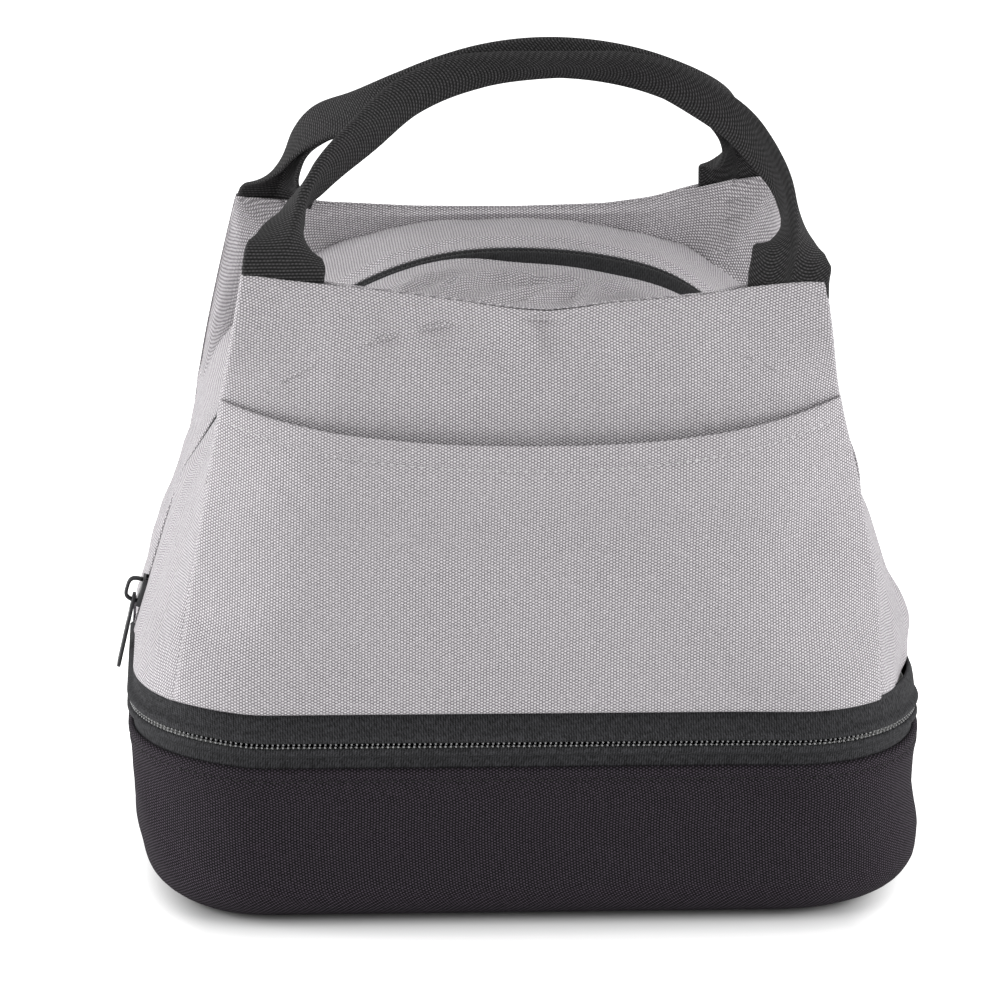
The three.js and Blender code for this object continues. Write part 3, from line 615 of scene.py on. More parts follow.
def zip_route(right_end):
    def route(inset):
        x, y = quarter(inset)
        side = base_width / 2 - inset
        right, left = np.stack([x, -y], 1), np.stack([-x[::-1], -y[::-1]], 1)
        start, end = np.array([[side, right_end]]), np.array([[-side, base_zip_end]])
        return np.concatenate([
            start, filled(start[0], right[0], 2.0), right, filled(right[-1], left[0], 2.0),
            left, filled(left[-1], end[0], 2.0), end])
    return route


def zip_tape(name, edge, far, lean_to=0.0):
    """One half of the base's tape. It bulges over the hidden coil, lies flat beyond, and the upper
    one leans in at its top and rolls under."""
    away = np.array([0.0, 0.5, 1.0, 1.7, 2.4, 2.9, 3.4, 4.2, 6.0, 8.0, 10.0, 11.2])
    away = np.append(away[away < abs(far - edge) - 0.3], abs(far - edge))
    heights = edge + math.copysign(1, far - edge) * away
    inset = 0.1 - 0.75 * smooth(away, -0.6, 0.9) + 2.1 * smooth(away, 1.6, 3.6)
    inset = inset + lean_to * smooth(heights, *lean_heights) ** 0.8
    roll = 0.35 * smooth(np.abs(heights - far), 1.2, 0.0) if lean_to else 0
    route = zip_route(park_end)
    face = along_route(route, list(zip(heights, inset - roll)))
    back = along_route(route, list(zip(heights, inset + tape)))
    return cloth_body(name, face, back, zip_cloth)


tape_foot, tape_crown, tape_gap = wall_top + 0.3, 76.5, 1.15
lean_in, lean_heights = 2.0, (69, tape_crown)
tape_lower = zip_tape("base_zip_tape_lower_cloth", zip_height - tape_gap, tape_foot)
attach(tape_lower, "base")
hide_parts("base_zip_tape_lower")
tape_upper = zip_tape("base_zip_tape_upper_cloth", zip_height + tape_gap, tape_crown, lean_in)
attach(tape_upper, "upper")
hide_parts("base_zip_tape_upper")


def bead_rows():
    """Geometry Nodes: rounded beads at an even pitch along lines, facing each line's outward
    direction. Teeth and stitches are both made with it."""
    tree = bpy.data.node_groups.new("bead_rows", "GeometryNodeTree")
    sockets = {}
    for name, kind in (("Lines", "Geometry"), ("Pitch", "Float"), ("Length", "Float"), ("Width", "Float"),
                       ("Height", "Float"), ("Slant", "Float"), ("Finish", "Material")):
        sockets[name] = tree.interface.new_socket(name, in_out="INPUT", socket_type="NodeSocket" + kind)
    tree.interface.new_socket("Beads", in_out="OUTPUT", socket_type="NodeSocketGeometry")

    def add(kind, settings=None, values=None):
        node = tree.nodes.new(kind)
        for name, value in (settings or {}).items():
            setattr(node, name, value)
        for key, value in (values or {}).items():
            if isinstance(value, bpy.types.NodeSocket):
                tree.links.new(value, node.inputs[key])
            else:
                node.inputs[key].default_value = value
        return node

    given = add("NodeGroupInput").outputs
    line = add("GeometryNodeMeshToCurve", {}, {"Mesh": given["Lines"]}).outputs[0]
    dots = add("GeometryNodeResampleCurve", {"mode": "LENGTH"},
               {"Curve": line, "Length": given["Pitch"]}).outputs[0]
    outward = add("GeometryNodeInputNamedAttribute", {"data_type": "FLOAT_VECTOR"},
                  {"Name": "outward"}).outputs[0]
    tangent = add("GeometryNodeInputTangent").outputs[0]
    turned = add("FunctionNodeAlignRotationToVector", {"axis": "X"}, {"Vector": tangent}).outputs[0]
    turned = add("FunctionNodeAlignRotationToVector", {"axis": "Z", "pivot_axis": "X"},
                 {"Rotation": turned, "Vector": outward}).outputs[0]
    slant = add("FunctionNodeAxisAngleToRotation", {},
                {"Axis": (0, 0, 1), "Angle": given["Slant"]}).outputs[0]
    turned = add("FunctionNodeRotateRotation", {"rotation_space": "LOCAL"}, {0: turned, 1: slant}).outputs[0]
    bead = add("GeometryNodeMeshUVSphere", {}, {"Segments": 8, "Rings": 5, "Radius": 0.5}).outputs[0]
    size = add("ShaderNodeCombineXYZ", {},
               {0: given["Length"], 1: given["Width"], 2: given["Height"]}).outputs[0]
    row = add("GeometryNodeInstanceOnPoints", {},
              {"Points": dots, "Instance": bead, "Rotation": turned, "Scale": size})
    whole = add("GeometryNodeRealizeInstances", {}, {0: row.outputs[0]}).outputs[0]
    soft = add("GeometryNodeSetShadeSmooth", {}, {0: whole}).outputs[0]
    painted = add("GeometryNodeSetMaterial", {}, {"Geometry": soft, "Material": given["Finish"]}).outputs[0]
    add("NodeGroupOutput", {}, {0: painted})
    return tree, {name: socket.identifier for name, socket in sockets.items()}


bead_tree, bead_inputs = bead_rows()


def beads(name, lines, pitch, size, finish, slant=0.0):
    """One mesh of beads along lines. A line is its points and its outward directions."""
    points = [np.asarray(line, float) * 0.001 for line, _ in lines]
    edges, start = [], 0
    for line in points:
        edges += [(start + i, start + i + 1) for i in range(len(line) - 1)]
        start += len(line)
    mesh = bpy.data.meshes.new(name + "_lines")
    mesh.from_pydata(np.concatenate(points).tolist(), edges, [])
    outward = np.concatenate([way for _, way in lines]).astype(np.float32)
    mesh.attributes.new("outward", "FLOAT_VECTOR", "POINT").data.foreach_set("vector", outward.ravel())
    guide = bpy.data.objects.new(name + "_lines", mesh)
    bpy.context.scene.collection.objects.link(guide)
    rule = guide.modifiers.new("beads", "NODES")
    rule.node_group = bead_tree
    values = {"Pitch": pitch * 0.001, "Slant": slant, "Finish": finish.material}
    values.update({side: length * 0.001 for side, length in zip(("Length", "Width", "Height"), size)})
    for key, value in values.items():
        rule[bead_inputs[key]] = value
    evaluated = guide.evaluated_get(bpy.context.evaluated_depsgraph_get())
    made = bpy.data.objects.new(name, bpy.data.meshes.new_from_object(evaluated))
    bpy.context.scene.collection.objects.link(made)
    bpy.data.objects.remove(guide)
    return made


def trimmed(line, start, *beside):
    """The line without its first few millimetres, and what goes with its points, cut alike."""
    steps = np.concatenate([[0], np.cumsum(np.linalg.norm(np.diff(line, axis=0), axis=1))])
    kept = np.concatenate([[start], steps[steps > start + 1e-6]])
    return [np.stack([np.interp(kept, steps, way) for way in values.T], 1) for values in (line, *beside)]


tooth_size, tooth_pitch, tooth_slant, tooth_offset = (0.75, 0.9, 1.0), 1.7, 0.22, 0.52
tooth_finish, _ = speckled(
    "tooth_nylon", 1400, 1, (0.12, 0.12, 0.125), (0.38, 0.38, 0.38), Roughness=0.35,
    Specular_IOR_Level=0.5, Coat_Weight=0.2)
for name, body, node, right_end, height, shift in (
    ("base_zip_teeth_lower", "base", "base_zip_coil_lower", park_end, zip_height - tooth_offset, 0.0),
    ("base_zip_teeth_upper", "upper", "base_zip_coil_upper", base_zip_end, zip_height + tooth_offset,
     tooth_pitch / 2),
):
    line = settled(pushed(at_height(zip_route(right_end)(0.6), height)))
    line = trimmed(line, shift)[0]
    teeth = beads(name, [(line, outward_of(line))], tooth_pitch, tooth_size, tooth_finish, tooth_slant)
    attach(teeth, body)
    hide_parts(node)

# Hinge at the back. Where the zip ends, black cloth goes on round the back: one leaf on the base
# and one on the upper compartment, joined along the straight back by a strip of the same cloth.
def hinge_route(inset):
    x, y = quarter(inset)
    side = base_width / 2 - inset
    right_end, left_end = park_end + clearance, base_zip_end + clearance
    start, end = np.array([[side, right_end]]), np.array([[-side, left_end]])
    right, left = np.stack([x, y], 1), np.stack([-x[::-1], y[::-1]], 1)
    right = right[right[:, 1] > right_end + 0.5]
    return np.concatenate([start, right, filled(right[-1], left[0], 3.0), left,
                           filled(left[-1], end[0], 2.0), end])


def leaf(name, levels):
    face, back = [along_route(hinge_route, [(z, depth + inset) for z, inset in levels])
                  for depth in (0.25, hidden_depth)]
    return cloth_body(name, face, back, black_cloth)


leaf_lower = leaf("rear_hinge_leaf_lower_cloth", [(z, 0) for z in np.linspace(tape_foot, 64.8, 6)])
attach(leaf_lower, "base")
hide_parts("rear_hinge_leaf_lower")
leaf_upper = leaf("rear_hinge_leaf_upper_cloth", [
    (z, lean_in * float(smooth(z, *lean_heights)) ** 0.8) for z in np.linspace(65.2, tape_crown, 7)])
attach(leaf_upper, "upper")
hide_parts("rear_hinge_leaf_upper")

strip_line = np.linspace((-corner_x, 0), (corner_x, 0), 60)
strip_face = np.stack([
    at_height(strip_line + (0, base_depth / 2 + 0.35 + 0.35 * smooth(abs(z - zip_height), 5.5, 1.0)), z)
    for z in np.linspace(59.5, 70.5, 15)])
strip_back = strip_face - (0, 0.7, 0)
hinge_strip = cloth_body("rear_hinge_strip", strip_face, strip_back, black_cloth)
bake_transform(hinge_strip)

# Floor between the compartments. Foam board in silver film, sewn in at the foot of the body.
divider_inset = 4.6
for name, node, low, high, finish, slot in (
    ("divider_under_film", "divider_under_lining", 69.1, 69.9, silver_film, "lining"),
    ("divider_board", "divider_foam", 70.2, 74.4, foam_white, "foam"),
    ("divider_top_film", "divider_top_lining", 74.7, 75.5, silver_film, "lining"),
):
    layer = plate(name, divider_inset, low, high, finish)
    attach(layer, "upper")
    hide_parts(node)
    slot == "foam"

# Front and back panels. Grey two-tone woven polyester from the foot of the body to the flap's edge.
# The filled bag pushes them out, and the flap, held only by its handle, is softly folded.
flap_height, flap_half_width, flap_spacing = 214, 93.5, 126
seam_half_width, body_half_width, foot_radius = 114.5, 129, 44
front, rear = -1, 1


def drop_at(z):
    return np.clip((flap_height - z) / (flap_height - body_foot), 0, 1)


def half_width(z, side, x):
    """Half a panel's width at a height. The back one, and the front one's right edge, swell out."""
    drop = drop_at(z)
    if side == rear:
        return mix(flap_half_width, seam_half_width, drop ** 0.85) + 2.6 * np.sin(math.pi * drop) ** 1.5
    z, right = np.asarray(z), np.asarray(x) > 0
    swell = 3.2 * bell(z, 138, 26) + 4.2 * bell(z, 106, 17)
    return mix(flap_half_width, seam_half_width + 1.3, drop) + swell * right


def foot_half_depth(x):
    return corner_y + np.sqrt(foot_radius ** 2 - np.maximum(0, np.abs(x) - corner_x) ** 2)


def foot_half_width(y):
    return corner_x + np.sqrt(foot_radius ** 2 - np.maximum(0, np.abs(y) - corner_y) ** 2)


def panel_depth(x, z, side):
    """Distance of a panel's face from the middle plane. Its corners are pulled back to the seams.
    On the front, the flat of the panel ends along a crease that runs from the right corner up
    towards the middle."""
    x, z = np.broadcast_arrays(np.asarray(x, float), np.asarray(z, float))
    drop = drop_at(z)
    width = half_width(z, side, x)
    across = np.minimum(1, np.abs(x) / width)
    foot = foot_half_depth(across * seam_half_width)
    reach = np.where(x > 0, 44, 38) if side == front else 24
    deep = np.where(x > 0, 11.0, 8.5) if side == front else 3.0
    deep = mix(2.2 if side == front else 0.6, deep, smooth(z, 200, 172)) * smooth(z, 82, 106)
    corner = np.clip((np.abs(x) - width + reach) / reach, 0, 1) ** 2 * deep
    if side == front:
        up = smooth(z, body_foot, 104)
        right_end = np.clip(41 + (130 - z) * 1.2, 40, corner_x)
        left_end = mix(corner_x, 64, up)
        flat = np.where(x > 0, mix(corner_x, right_end, smooth(z, body_foot, 84)), left_end)
        share = np.clip((np.abs(x) - flat) / (width - flat), 0, 1)
        at_seam = foot_half_depth(seam_half_width)
        soft = foot_half_depth(0) - (foot_half_depth(0) - at_seam) * mix(share ** 1.15, share ** 2, 0.3)
        foot = mix(foot, soft, up)
    lean = mix(flap_spacing / 2, foot, drop)
    return lean + 2.5 * np.sin(math.pi * drop) * (1 - across ** 2) - corner


# Height of each flap's edge at places across it. Between the handle's ends it hangs in a soft swag,
# and the front one is nipped in the middle.
edge_swags = {
    front: ((-94, 215.5), (-80, 213.6), (-65, 212.2), (-54, 211.0), (-39, 209.2), (-22, 207.0),
            (-4, 204.4), (3, 203.7), (13.5, 205.0), (22, 206.5), (40, 207.8), (55, 209.2),
            (68.5, 211.3), (80, 212.3), (94, 213.0)),
    rear: ((-95, 211.6), (-76, 210.2), (-62, 207.8), (-33, 206.4), (5, 206.2), (33.5, 207.3),
           (50, 210.0), (62, 213.6), (78, 217.4), (92, 219.0)),
}


def flap_edge(across, side):
    x, z = np.array(edge_swags[side]).T
    spots = np.linspace(-100, 100, 401)
    window = np.hanning(23)[1:-1]
    edge = np.pad(np.interp(spots, x, z), len(window) // 2, mode="edge")
    soft = np.convolve(edge, window / window.sum(), "valid")
    return np.interp(np.asarray(across) * flap_half_width, spots, soft)


# Each fold: x and z of its two ends, how wide it is and how far it stands out
front_folds = [
    (-66, 206, -62, 172, 6, 1.2), (-49, 208, -46, 184, 4.0, -1.1),
    (-14, 203, -11, 191, 4.5, 2.0), (1, 204, 4, 188, 3.4, -1.8), (20, 205, 24, 182, 6, 1.5),
    (-34, 203, -27, 183, 6, -2.0), (52, 206, 48, 182, 8, 1.0),
    (-104, 96, -70, 116, 9, 0.9), (-96, 84, -66, 100, 7, -0.7), (84, 84, 60, 104, 9, 0.8),
    (30, 84, 44, 112, 12, -0.7), (100, 150, 84, 120, 8, -0.6),
]
rear_folds = [
    (-60, 205, -52, 170, 7, 0.9), (48, 205, 40, 168, 8, -0.9), (0, 198, 4, 160, 14, 0.8),
    (-98, 92, -60, 120, 10, 0.9), (92, 90, 58, 126, 11, 0.9), (-20, 90, 10, 110, 12, -0.7),
]


def unevenness(x, z, side):
    """How far a panel's face stands out in its folds and soft waves. Its foot is held by the seam."""
    folds, seed = (front_folds, 11) if side == front else (rear_folds, 23)
    soft = 0.45 * waves(x, z * 0.8, 46, seed) + 0.12 * waves(x, z, 13, seed + 1)
    return (ridges(x, z, folds) + soft) * smooth(z, body_foot, body_foot + 14)


grey_cloth = woven(
    "grey_cloth", (0.155, 0.146, 0.155, 1), (0.72, 0.69, 0.715, 1), (0.5, 0.48, 0.495, 1), slub=0.03,
    height=0.0004, Specular_IOR_Level=0.3)


def rolled(x, z, side, radius=0.8):
    """How far a panel's cloth turns back at its side seams."""
    near = np.clip(radius - (half_width(z, side, x) - np.abs(x)), 0, radius)
    return radius - np.sqrt(np.maximum(radius ** 2 - near ** 2, 0))


panel_columns = 131


def panel_grid(side, top, depth, rows, extra=None):
    """Points of one face of a panel's layer, from the foot of the body to a top edge."""
    across = np.linspace(-1, 1, panel_columns)
    across = np.sign(across) * (1 - (1 - np.abs(across)) ** 1.25)
    levels = np.linspace(0, 1, rows)[:, None]
    z = mix(body_foot - 0.7, top(across)[None, :], levels)
    x = across[None, :] * half_width(z, side, across[None, :])
    y = panel_depth(x, z, side) + unevenness(x, z, side) - depth - rolled(x, z, side)
    if extra is not None:
        y = y + extra(x, z)
    return settled(np.stack([x, side * y, z], 2))


for side, half in ((front, "front"), (rear, "rear")):
    face, back = [panel_grid(side, lambda across: flap_edge(across, side), depth, 92)
                  for depth in (0, fabric)]
    panel = cloth_body(f"{half}_panel_cloth", face, back, grey_cloth)
    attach(panel, f"{half}_half")
    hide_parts(f"{half}_panel")

# Gussets. The sides and the domed top are one grey strip for each half, from the panel's seam to the
# zip. It swells between them and puckers where the zip pulls it round the dome.
spring_height, arch_height = 140, 202.5
zip_spring, zip_lean = 112, math.radians(16)
dome_rise, dome_shoulder, dome_top = 5.5, 24, 80

gusset_foot = body_foot - 1.4
upright = np.linspace(gusset_foot, spring_height, 42)
arch_steps = 84
turning = np.radians(np.linspace(0, 90, arch_steps + 1))[1:]
station_height = np.concatenate([upright, np.full(len(turning), spring_height)])
station_angle = np.concatenate([np.zeros(len(upright)), turning])
run = np.array([-math.tan(zip_lean), 1.0])
zip_foot = np.array([body_half_width, body_foot])
spring = zip_foot + run * (zip_spring - body_foot)
handles = [spring, spring + run * dome_shoulder, np.array([dome_top, arch_height + dome_rise]),
           np.array([0, arch_height + dome_rise])]


def dome_point(share):
    share = np.asarray(share, float)[:, None]
    rest = 1 - share
    return (handles[0] * rest ** 3 + handles[1] * 3 * rest ** 2 * share
            + handles[2] * 3 * rest * share ** 2 + handles[3] * share ** 3)


dense = np.linspace(0, 0.5, 2001)
dense_height = dome_point(dense)[:, 1]
climb = np.interp(station_height, dense_height, dense)
dome_share = mix(climb, 1, station_angle / (math.pi / 2))
zip_half = np.where((station_height > zip_spring)[:, None], dome_point(dome_share),
                    zip_foot + (station_height - body_foot)[:, None] * run)
cosine = np.maximum(np.cos(station_angle), 0) ** 0.95
zip_half[-1, 0] = 0


def seam_arch(side, mirror):
    """Half a seam, up a panel's edge and round the arch to its middle."""
    line = np.stack([half_width(station_height, side, mirror) * cosine * mirror,
                     station_height + (arch_height - spring_height) * np.sin(station_angle) ** 0.95], 1)
    line[-1, 0] = 0
    return line


seam_line = {side: np.concatenate([seam_arch(side, 1), seam_arch(side, -1)[::-1][1:]])
             for side in (front, rear)}
zip_line = np.concatenate([zip_half, (zip_half * [-1, 1])[::-1][1:]])
line_height = np.concatenate([station_height, station_height[::-1][1:]])


def normals_of(line):
    along = np.gradient(line, axis=0)
    along /= np.linalg.norm(along, axis=1, keepdims=True)
    return np.stack([along[:, 1], -along[:, 0]], 1)


zip_normals = normals_of(zip_line)
seam_normals = {side: normals_of(line) for side, line in seam_line.items()}
seam_depth = {side: panel_depth(line[:, 0], line[:, 1], side) for side, line in seam_line.items()}


def gusset_point(y, depth, side):
    """Points of the gusset for a grid of distances from the middle plane, a column for each
    station round the arch."""
    share = 1 - y / seam_depth[side]
    dome = np.sin(math.pi / 2 * np.clip(share, 0, 1)) ** 0.8
    foot_y = (1 - share) * foot_half_depth(seam_half_width)
    foot = (foot_half_width(foot_y) - seam_half_width) / (body_half_width - seam_half_width)
    swell = mix(foot, dome, (line_height - body_foot) / (spring_height - body_foot))[..., None]
    face = mix(seam_line[side], zip_line, swell)
    normal = mix(seam_normals[side], zip_normals, swell)
    normal = normal / np.linalg.norm(normal, axis=2, keepdims=True)
    face = face - normal * np.asarray(depth)[..., None]
    x, z, y = face[..., 0], face[..., 1], np.broadcast_to(y, face.shape[:2])
    on_right, on_left, on_dome = smooth(x, 60, 100), smooth(-x, 60, 100), smooth(z, 176, 196)
    sag = (0.9 * bell(x, 4, 24) - 1.5 * bell(x, 52, 17)) * on_dome * smooth(y, 46, 20)
    if side == front:
        to_seam = seam_depth[front] - y
        belly = (5.4 * bell(z, 91, 14) + 2.2 * bell(z, 122, 16)) * bell(y, 32, 21)
        belly = belly + 1.2 * bell(z, 82, 8) * bell(y, 16, 13) - 2.8 * smooth(z, 90, 79) * bell(y, 50, 12)
        bulge = belly * on_right * smooth(to_seam, 0, 13)
        bulge = bulge - 1.4 * bell(z, 132, 8.5) * smooth(y, 20, 6) * on_left
        middle = smooth(x, -34, -4) * smooth(x, 84, 60) * smooth(y, 1.5, 8) * smooth(to_seam, 0, 22)
        sag = sag + (2.3 + 0.9 * smooth(x, 8, 34)) * middle * on_dome
    else:
        bulge = -2.2 * bell(z, 103, 13) * smooth(y, 2, 10) * smooth(y, 52, 30) * on_left
    foot_line = mix(gusset_foot, body_foot, on_right)
    return settled(np.stack([x + bulge, side * y, np.maximum(z - sag, foot_line)], 2))


arch_along = np.concatenate([[0], np.cumsum(np.linalg.norm(np.diff(zip_line, axis=0), axis=1))])
arch_along -= arch_along[len(arch_along) // 2]


def gusset_layer(side, top, bottom, behind, zip_edge, rows, step, relief=None):
    shares = np.linspace(0, 1, rows)[:, None] ** 1.2
    y = mix(seam_depth[side] - behind, zip_edge, shares)
    raised = 0 if relief is None else relief(arch_along[None, :], y, shares, side)
    face, back = gusset_point(y, top - raised, side), gusset_point(y, bottom - raised, side)
    return face[:, ::step], back[:, ::step]


# Crumples of the front half of the dome: place round the arch and distance from the middle plane
# of both ends, how wide each is and how far it stands out
dome_wrinkles = [
    (-30, 44, 2, 14, 2.2, 4.2), (-6, 40, 16, 14, 2.4, -2.0), (0, 50, 34, 18, 2.2, 4.4),
    (14, 54, 20, 30, 2.0, 4.2), (-58, 44, -20, 12, 3.0, 3.2), (40, 48, 58, 20, 3.4, 3.0),
    (-26, 30, 22, 26, 1.8, 3.8), (-16, 50, 8, 38, 2.0, 4.2), (-70, 36, -38, 12, 5.0, -1.3),
    (66, 40, 40, 14, 4.0, -1.3),
]


def gusset_relief(along, y, shares, side):
    """How far a gusset stands out: crumples on the front of the dome, a raised seam on its back."""
    held = smooth(line_height, body_foot, body_foot + 12)
    held = held * smooth(shares, 0.0, 0.08) * smooth(shares, 1.0, 0.9)
    soft = 0.6 * waves(along, y, 34, 31 + side) + 0.3 * waves(along, y * 0.7, 12, 41 + side)
    if side == front:
        top = 4.2 * np.tanh(0.28 * ridges(-along, y, dome_wrinkles)) * smooth(y, 8, 24)
    else:
        top = 1.7 * bell(y, 16.5, 1.5) * smooth(np.abs(along), 96, 70)
    return (soft + top) * held + 0.5 * smooth(shares, 0.93, 0.99)


# How far each gusset's edge stops from the middle of the zip, by its place round the arch
side_edge, dome_edge = 3.4, 6
zip_x, zip_z = zip_line.T
over_top = smooth(zip_z, 170, 198)
zip_edges = {
    front: side_edge + over_top * (1.2 + 4.2 * smooth(zip_x, -24, 14) * smooth(zip_x, 78, 50)),
    rear: mix(side_edge, dome_edge, over_top),
}
for side, half in ((front, "front"), (rear, "rear")):
    face, back = gusset_layer(side, 0, fabric, 0.5, zip_edges[side], 44, 1, gusset_relief)
    gusset = cloth_body(f"{half}_gusset_cloth", face, back, grey_cloth)
    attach(gusset, f"{half}_half")
    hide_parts(f"{half}_gusset")

# Padding and lining of the body. Behind the panels and the gussets lie a foam sheet and the silver
# film, each cut a little smaller than the layer outside it.
foam_top, foam_bottom, lining_top, lining_bottom = 2.1, 6.1, 6.5, 7.3
foam_edge, panel_foam_inset, panel_film_inset = 10.3, 4.0, 8.5


def arch_layer(side, top, bottom, inside):
    """A layer behind a panel. It ends that far inside the seam, all round the arch."""
    columns = (seam_line[side] - seam_normals[side] * inside)[::3]
    columns = columns[columns[:, 1] > body_foot + 12]
    z = mix(body_foot, columns[:, 1], np.linspace(0, 1, 16)[:, None])
    x = np.broadcast_to(columns[:, 0], z.shape)
    return [np.stack([x, side * (panel_depth(x, z, side) - depth), z], 2) for depth in (top, bottom)]


for side, half in ((front, "front"), (rear, "rear")):
    foam_behind, film_behind = foam_bottom + layer_gap, lining_bottom + layer_gap
    for name, node, layers, finish, slot in (
        ("panel_padding", "panel_foam",
         arch_layer(side, foam_top, foam_bottom, panel_foam_inset), foam_white, "foam"),
        ("panel_liner", "panel_lining",
         arch_layer(side, lining_top, lining_bottom, panel_film_inset), silver_film, "lining"),
        ("gusset_padding", "gusset_foam",
         gusset_layer(side, foam_top, foam_bottom, foam_behind, foam_edge, 12, 3), foam_white, "foam"),
        ("gusset_liner", "gusset_lining",
         gusset_layer(side, lining_top, lining_bottom, film_behind, dome_edge, 12, 3), silver_film, "lining"),
    ):
        layer = cloth_body(f"{half}_{name}", *layers, finish)
        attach(layer, f"{half}_half")
        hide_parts(f"{half}_{node}")
        slot == "foam"

# Flap facings. The inside of each flap is grey cloth too, sewn to the panel along the flap's edge
# and to the gusset along the arch, with a seam up each side of it.
facing_top, facing_thickness, side_strip = 3.4, 0.8, 11
facing_seam_x, facing_seam_place = 78, 56.8
# Degrees round the arch. Those of a quarter, and six close together along the upright seam
facing_quarter = np.concatenate([np.delete(np.arange(0, 90, 2.0), 28),
                                 facing_seam_place + np.array([-0.7, -0.4, -0.15, 0.15, 0.4, 0.7])])
facing_columns = np.sort(np.concatenate([facing_quarter, [90], 180 - facing_quarter]))
steep_end = 50


def facing_grid(side, depth_of):
    """Rows from the gusset to the flap's edge, a column for each place round the arch. Outside the
    upright seams the cloth runs down on to the gusset in a hollow curve."""
    degrees = np.where(facing_columns <= 90, facing_columns, 180 - facing_columns)
    mirror = np.sign(90 - facing_columns)
    column = len(upright) - 1 + degrees / 90 * arch_steps
    column = np.where(mirror >= 0, column, len(zip_line) - 1 - column)
    place = np.arange(len(zip_line))

    def at_column(line):
        return np.stack([np.interp(column, place, way) for way in line.T], 1)

    inner_x, inner_z = at_column(seam_line[side] + seam_normals[side] * 0.2).T
    inner_x = np.abs(inner_x)
    across = np.where(degrees <= steep_end, 1, 1 - (degrees - steep_end) / (90 - steep_end))
    top = flap_edge(across * mirror, side) + (0.6 if side == front else -0.3)
    edge_z = mix(inner_z, top, np.clip(degrees / steep_end, 0, 1))
    edge_x = across * (half_width(edge_z, side, mirror) - 0.3)
    share = np.linspace(0, 1, 30)[:, None]
    curved = smooth(inner_x, 60, 76)[None, :]
    risen = mix(share, 1 - (1 - share) ** 2, curved)
    x, z = mix(inner_x, edge_x, risen) * mirror, mix(inner_z, edge_z, risen)
    y = panel_depth(x, z, side) + unevenness(x, z, side) - depth_of(x, z, risen)
    points = np.stack([x, side * y, z], 2)
    spread = (seam_depth[side] - side_strip)[None, :]
    landing = gusset_point(spread, np.full_like(spread, 0.5 + depth_of(0, 0, 0) - facing_top), side)[0]
    return points + ((1 - share) ** 2 * curved)[..., None] * (at_column(landing) - points[0])


def facing_depth(x, z, share):
    """The facing closes on the panel at the flap's edge, except over the handle's ends."""
    over_handle = smooth(np.abs(np.abs(x) - 80), 17, 13.5)
    closing = smooth(share, 0.55, 1.0) * (1 - over_handle)
    groove = bell(np.abs(x), facing_seam_x, 0.6) * smooth(z, 176, 182)
    return facing_top - 1.7 * closing - groove * 1.1


for side, half in ((front, "front"), (rear, "rear")):
    face = facing_grid(side, lambda x, z, s: facing_depth(x, z, s) + facing_thickness)
    back = facing_grid(side, facing_depth)
    facing = cloth_body(f"{half}_flap_facing_cloth", face, back, grey_cloth)
    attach(facing, f"{half}_half")
    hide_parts(f"{half}_flap_facing")

# Front slip pocket. A second front of the same cloth, sewn in at both sides and the foot, with a
# turned hem and one row of pale stitches along its curved open edge.
hem_below = 7.5


def pocket_top(across):
    return 163 + 10 * across ** 2


def pocket_gap(x, z):
    across = np.minimum(1, np.abs(x) / half_width(z, front, x))
    return 6.2 * smooth(z, 124, 152) * (1 - across ** 4)


def pocket_forward(x, z):
    below = pocket_top(x / flap_half_width) - z
    seam = 0.3 * smooth(below, hem_below, hem_below - 1.5) - 0.5 * bell(below, hem_below, 0.8)
    return pocket_gap(x, z) * 0.72 + seam


face, back = [panel_grid(front, pocket_top, depth, 78, pocket_forward) for depth in (-1.5, -0.3)]
pocket = cloth_body("front_pocket_cloth", face, back, grey_cloth)
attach(pocket, "front_half")
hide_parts("front_pocket")

thread_grey, _ = speckled(
    "thread_grey", 2600, 1, (0.36, 0.35, 0.36), (0.6, 0.59, 0.6), Roughness=0.7, Specular_IOR_Level=0.3)
stitch_x = np.linspace(-96, 96, 240)
stitch_z = pocket_top(stitch_x / flap_half_width) - hem_below
stitch_y = (panel_depth(stitch_x, stitch_z, front) + unevenness(stitch_x, stitch_z, front)
            + pocket_forward(stitch_x, stitch_z) + 1.55)
stitch_line = np.stack([stitch_x, front * stitch_y, stitch_z], 1)
stitch_out = np.tile([0, -1, 0.15], (len(stitch_line), 1))
stitch_pitch = 3.0
stitches = beads("pocket_topstitch", [(stitch_line, stitch_out)], stitch_pitch, (2.3, 0.55, 0.6), thread_grey)
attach(stitches, "front_half")

# Stitches of the base's hem. One row of black thread goes round the wall, just below its top.
thread_black, _ = speckled(
    "thread_black", 2600, 1, (0.006, 0.005, 0.006), (0.02, 0.018, 0.02), Roughness=0.7,
    Specular_IOR_Level=0.3)
hem_line = wall_face[hem_row]
hem_line = np.concatenate([hem_line, hem_line[:1]])
hem_out = outward_of(hem_line)
hem_stitches = beads("base_topstitch", [(hem_line + hem_out * 0.1, hem_out)], stitch_pitch, (2.2, 0.5, 0.55),
                     thread_black)
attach(hem_stitches, "base")

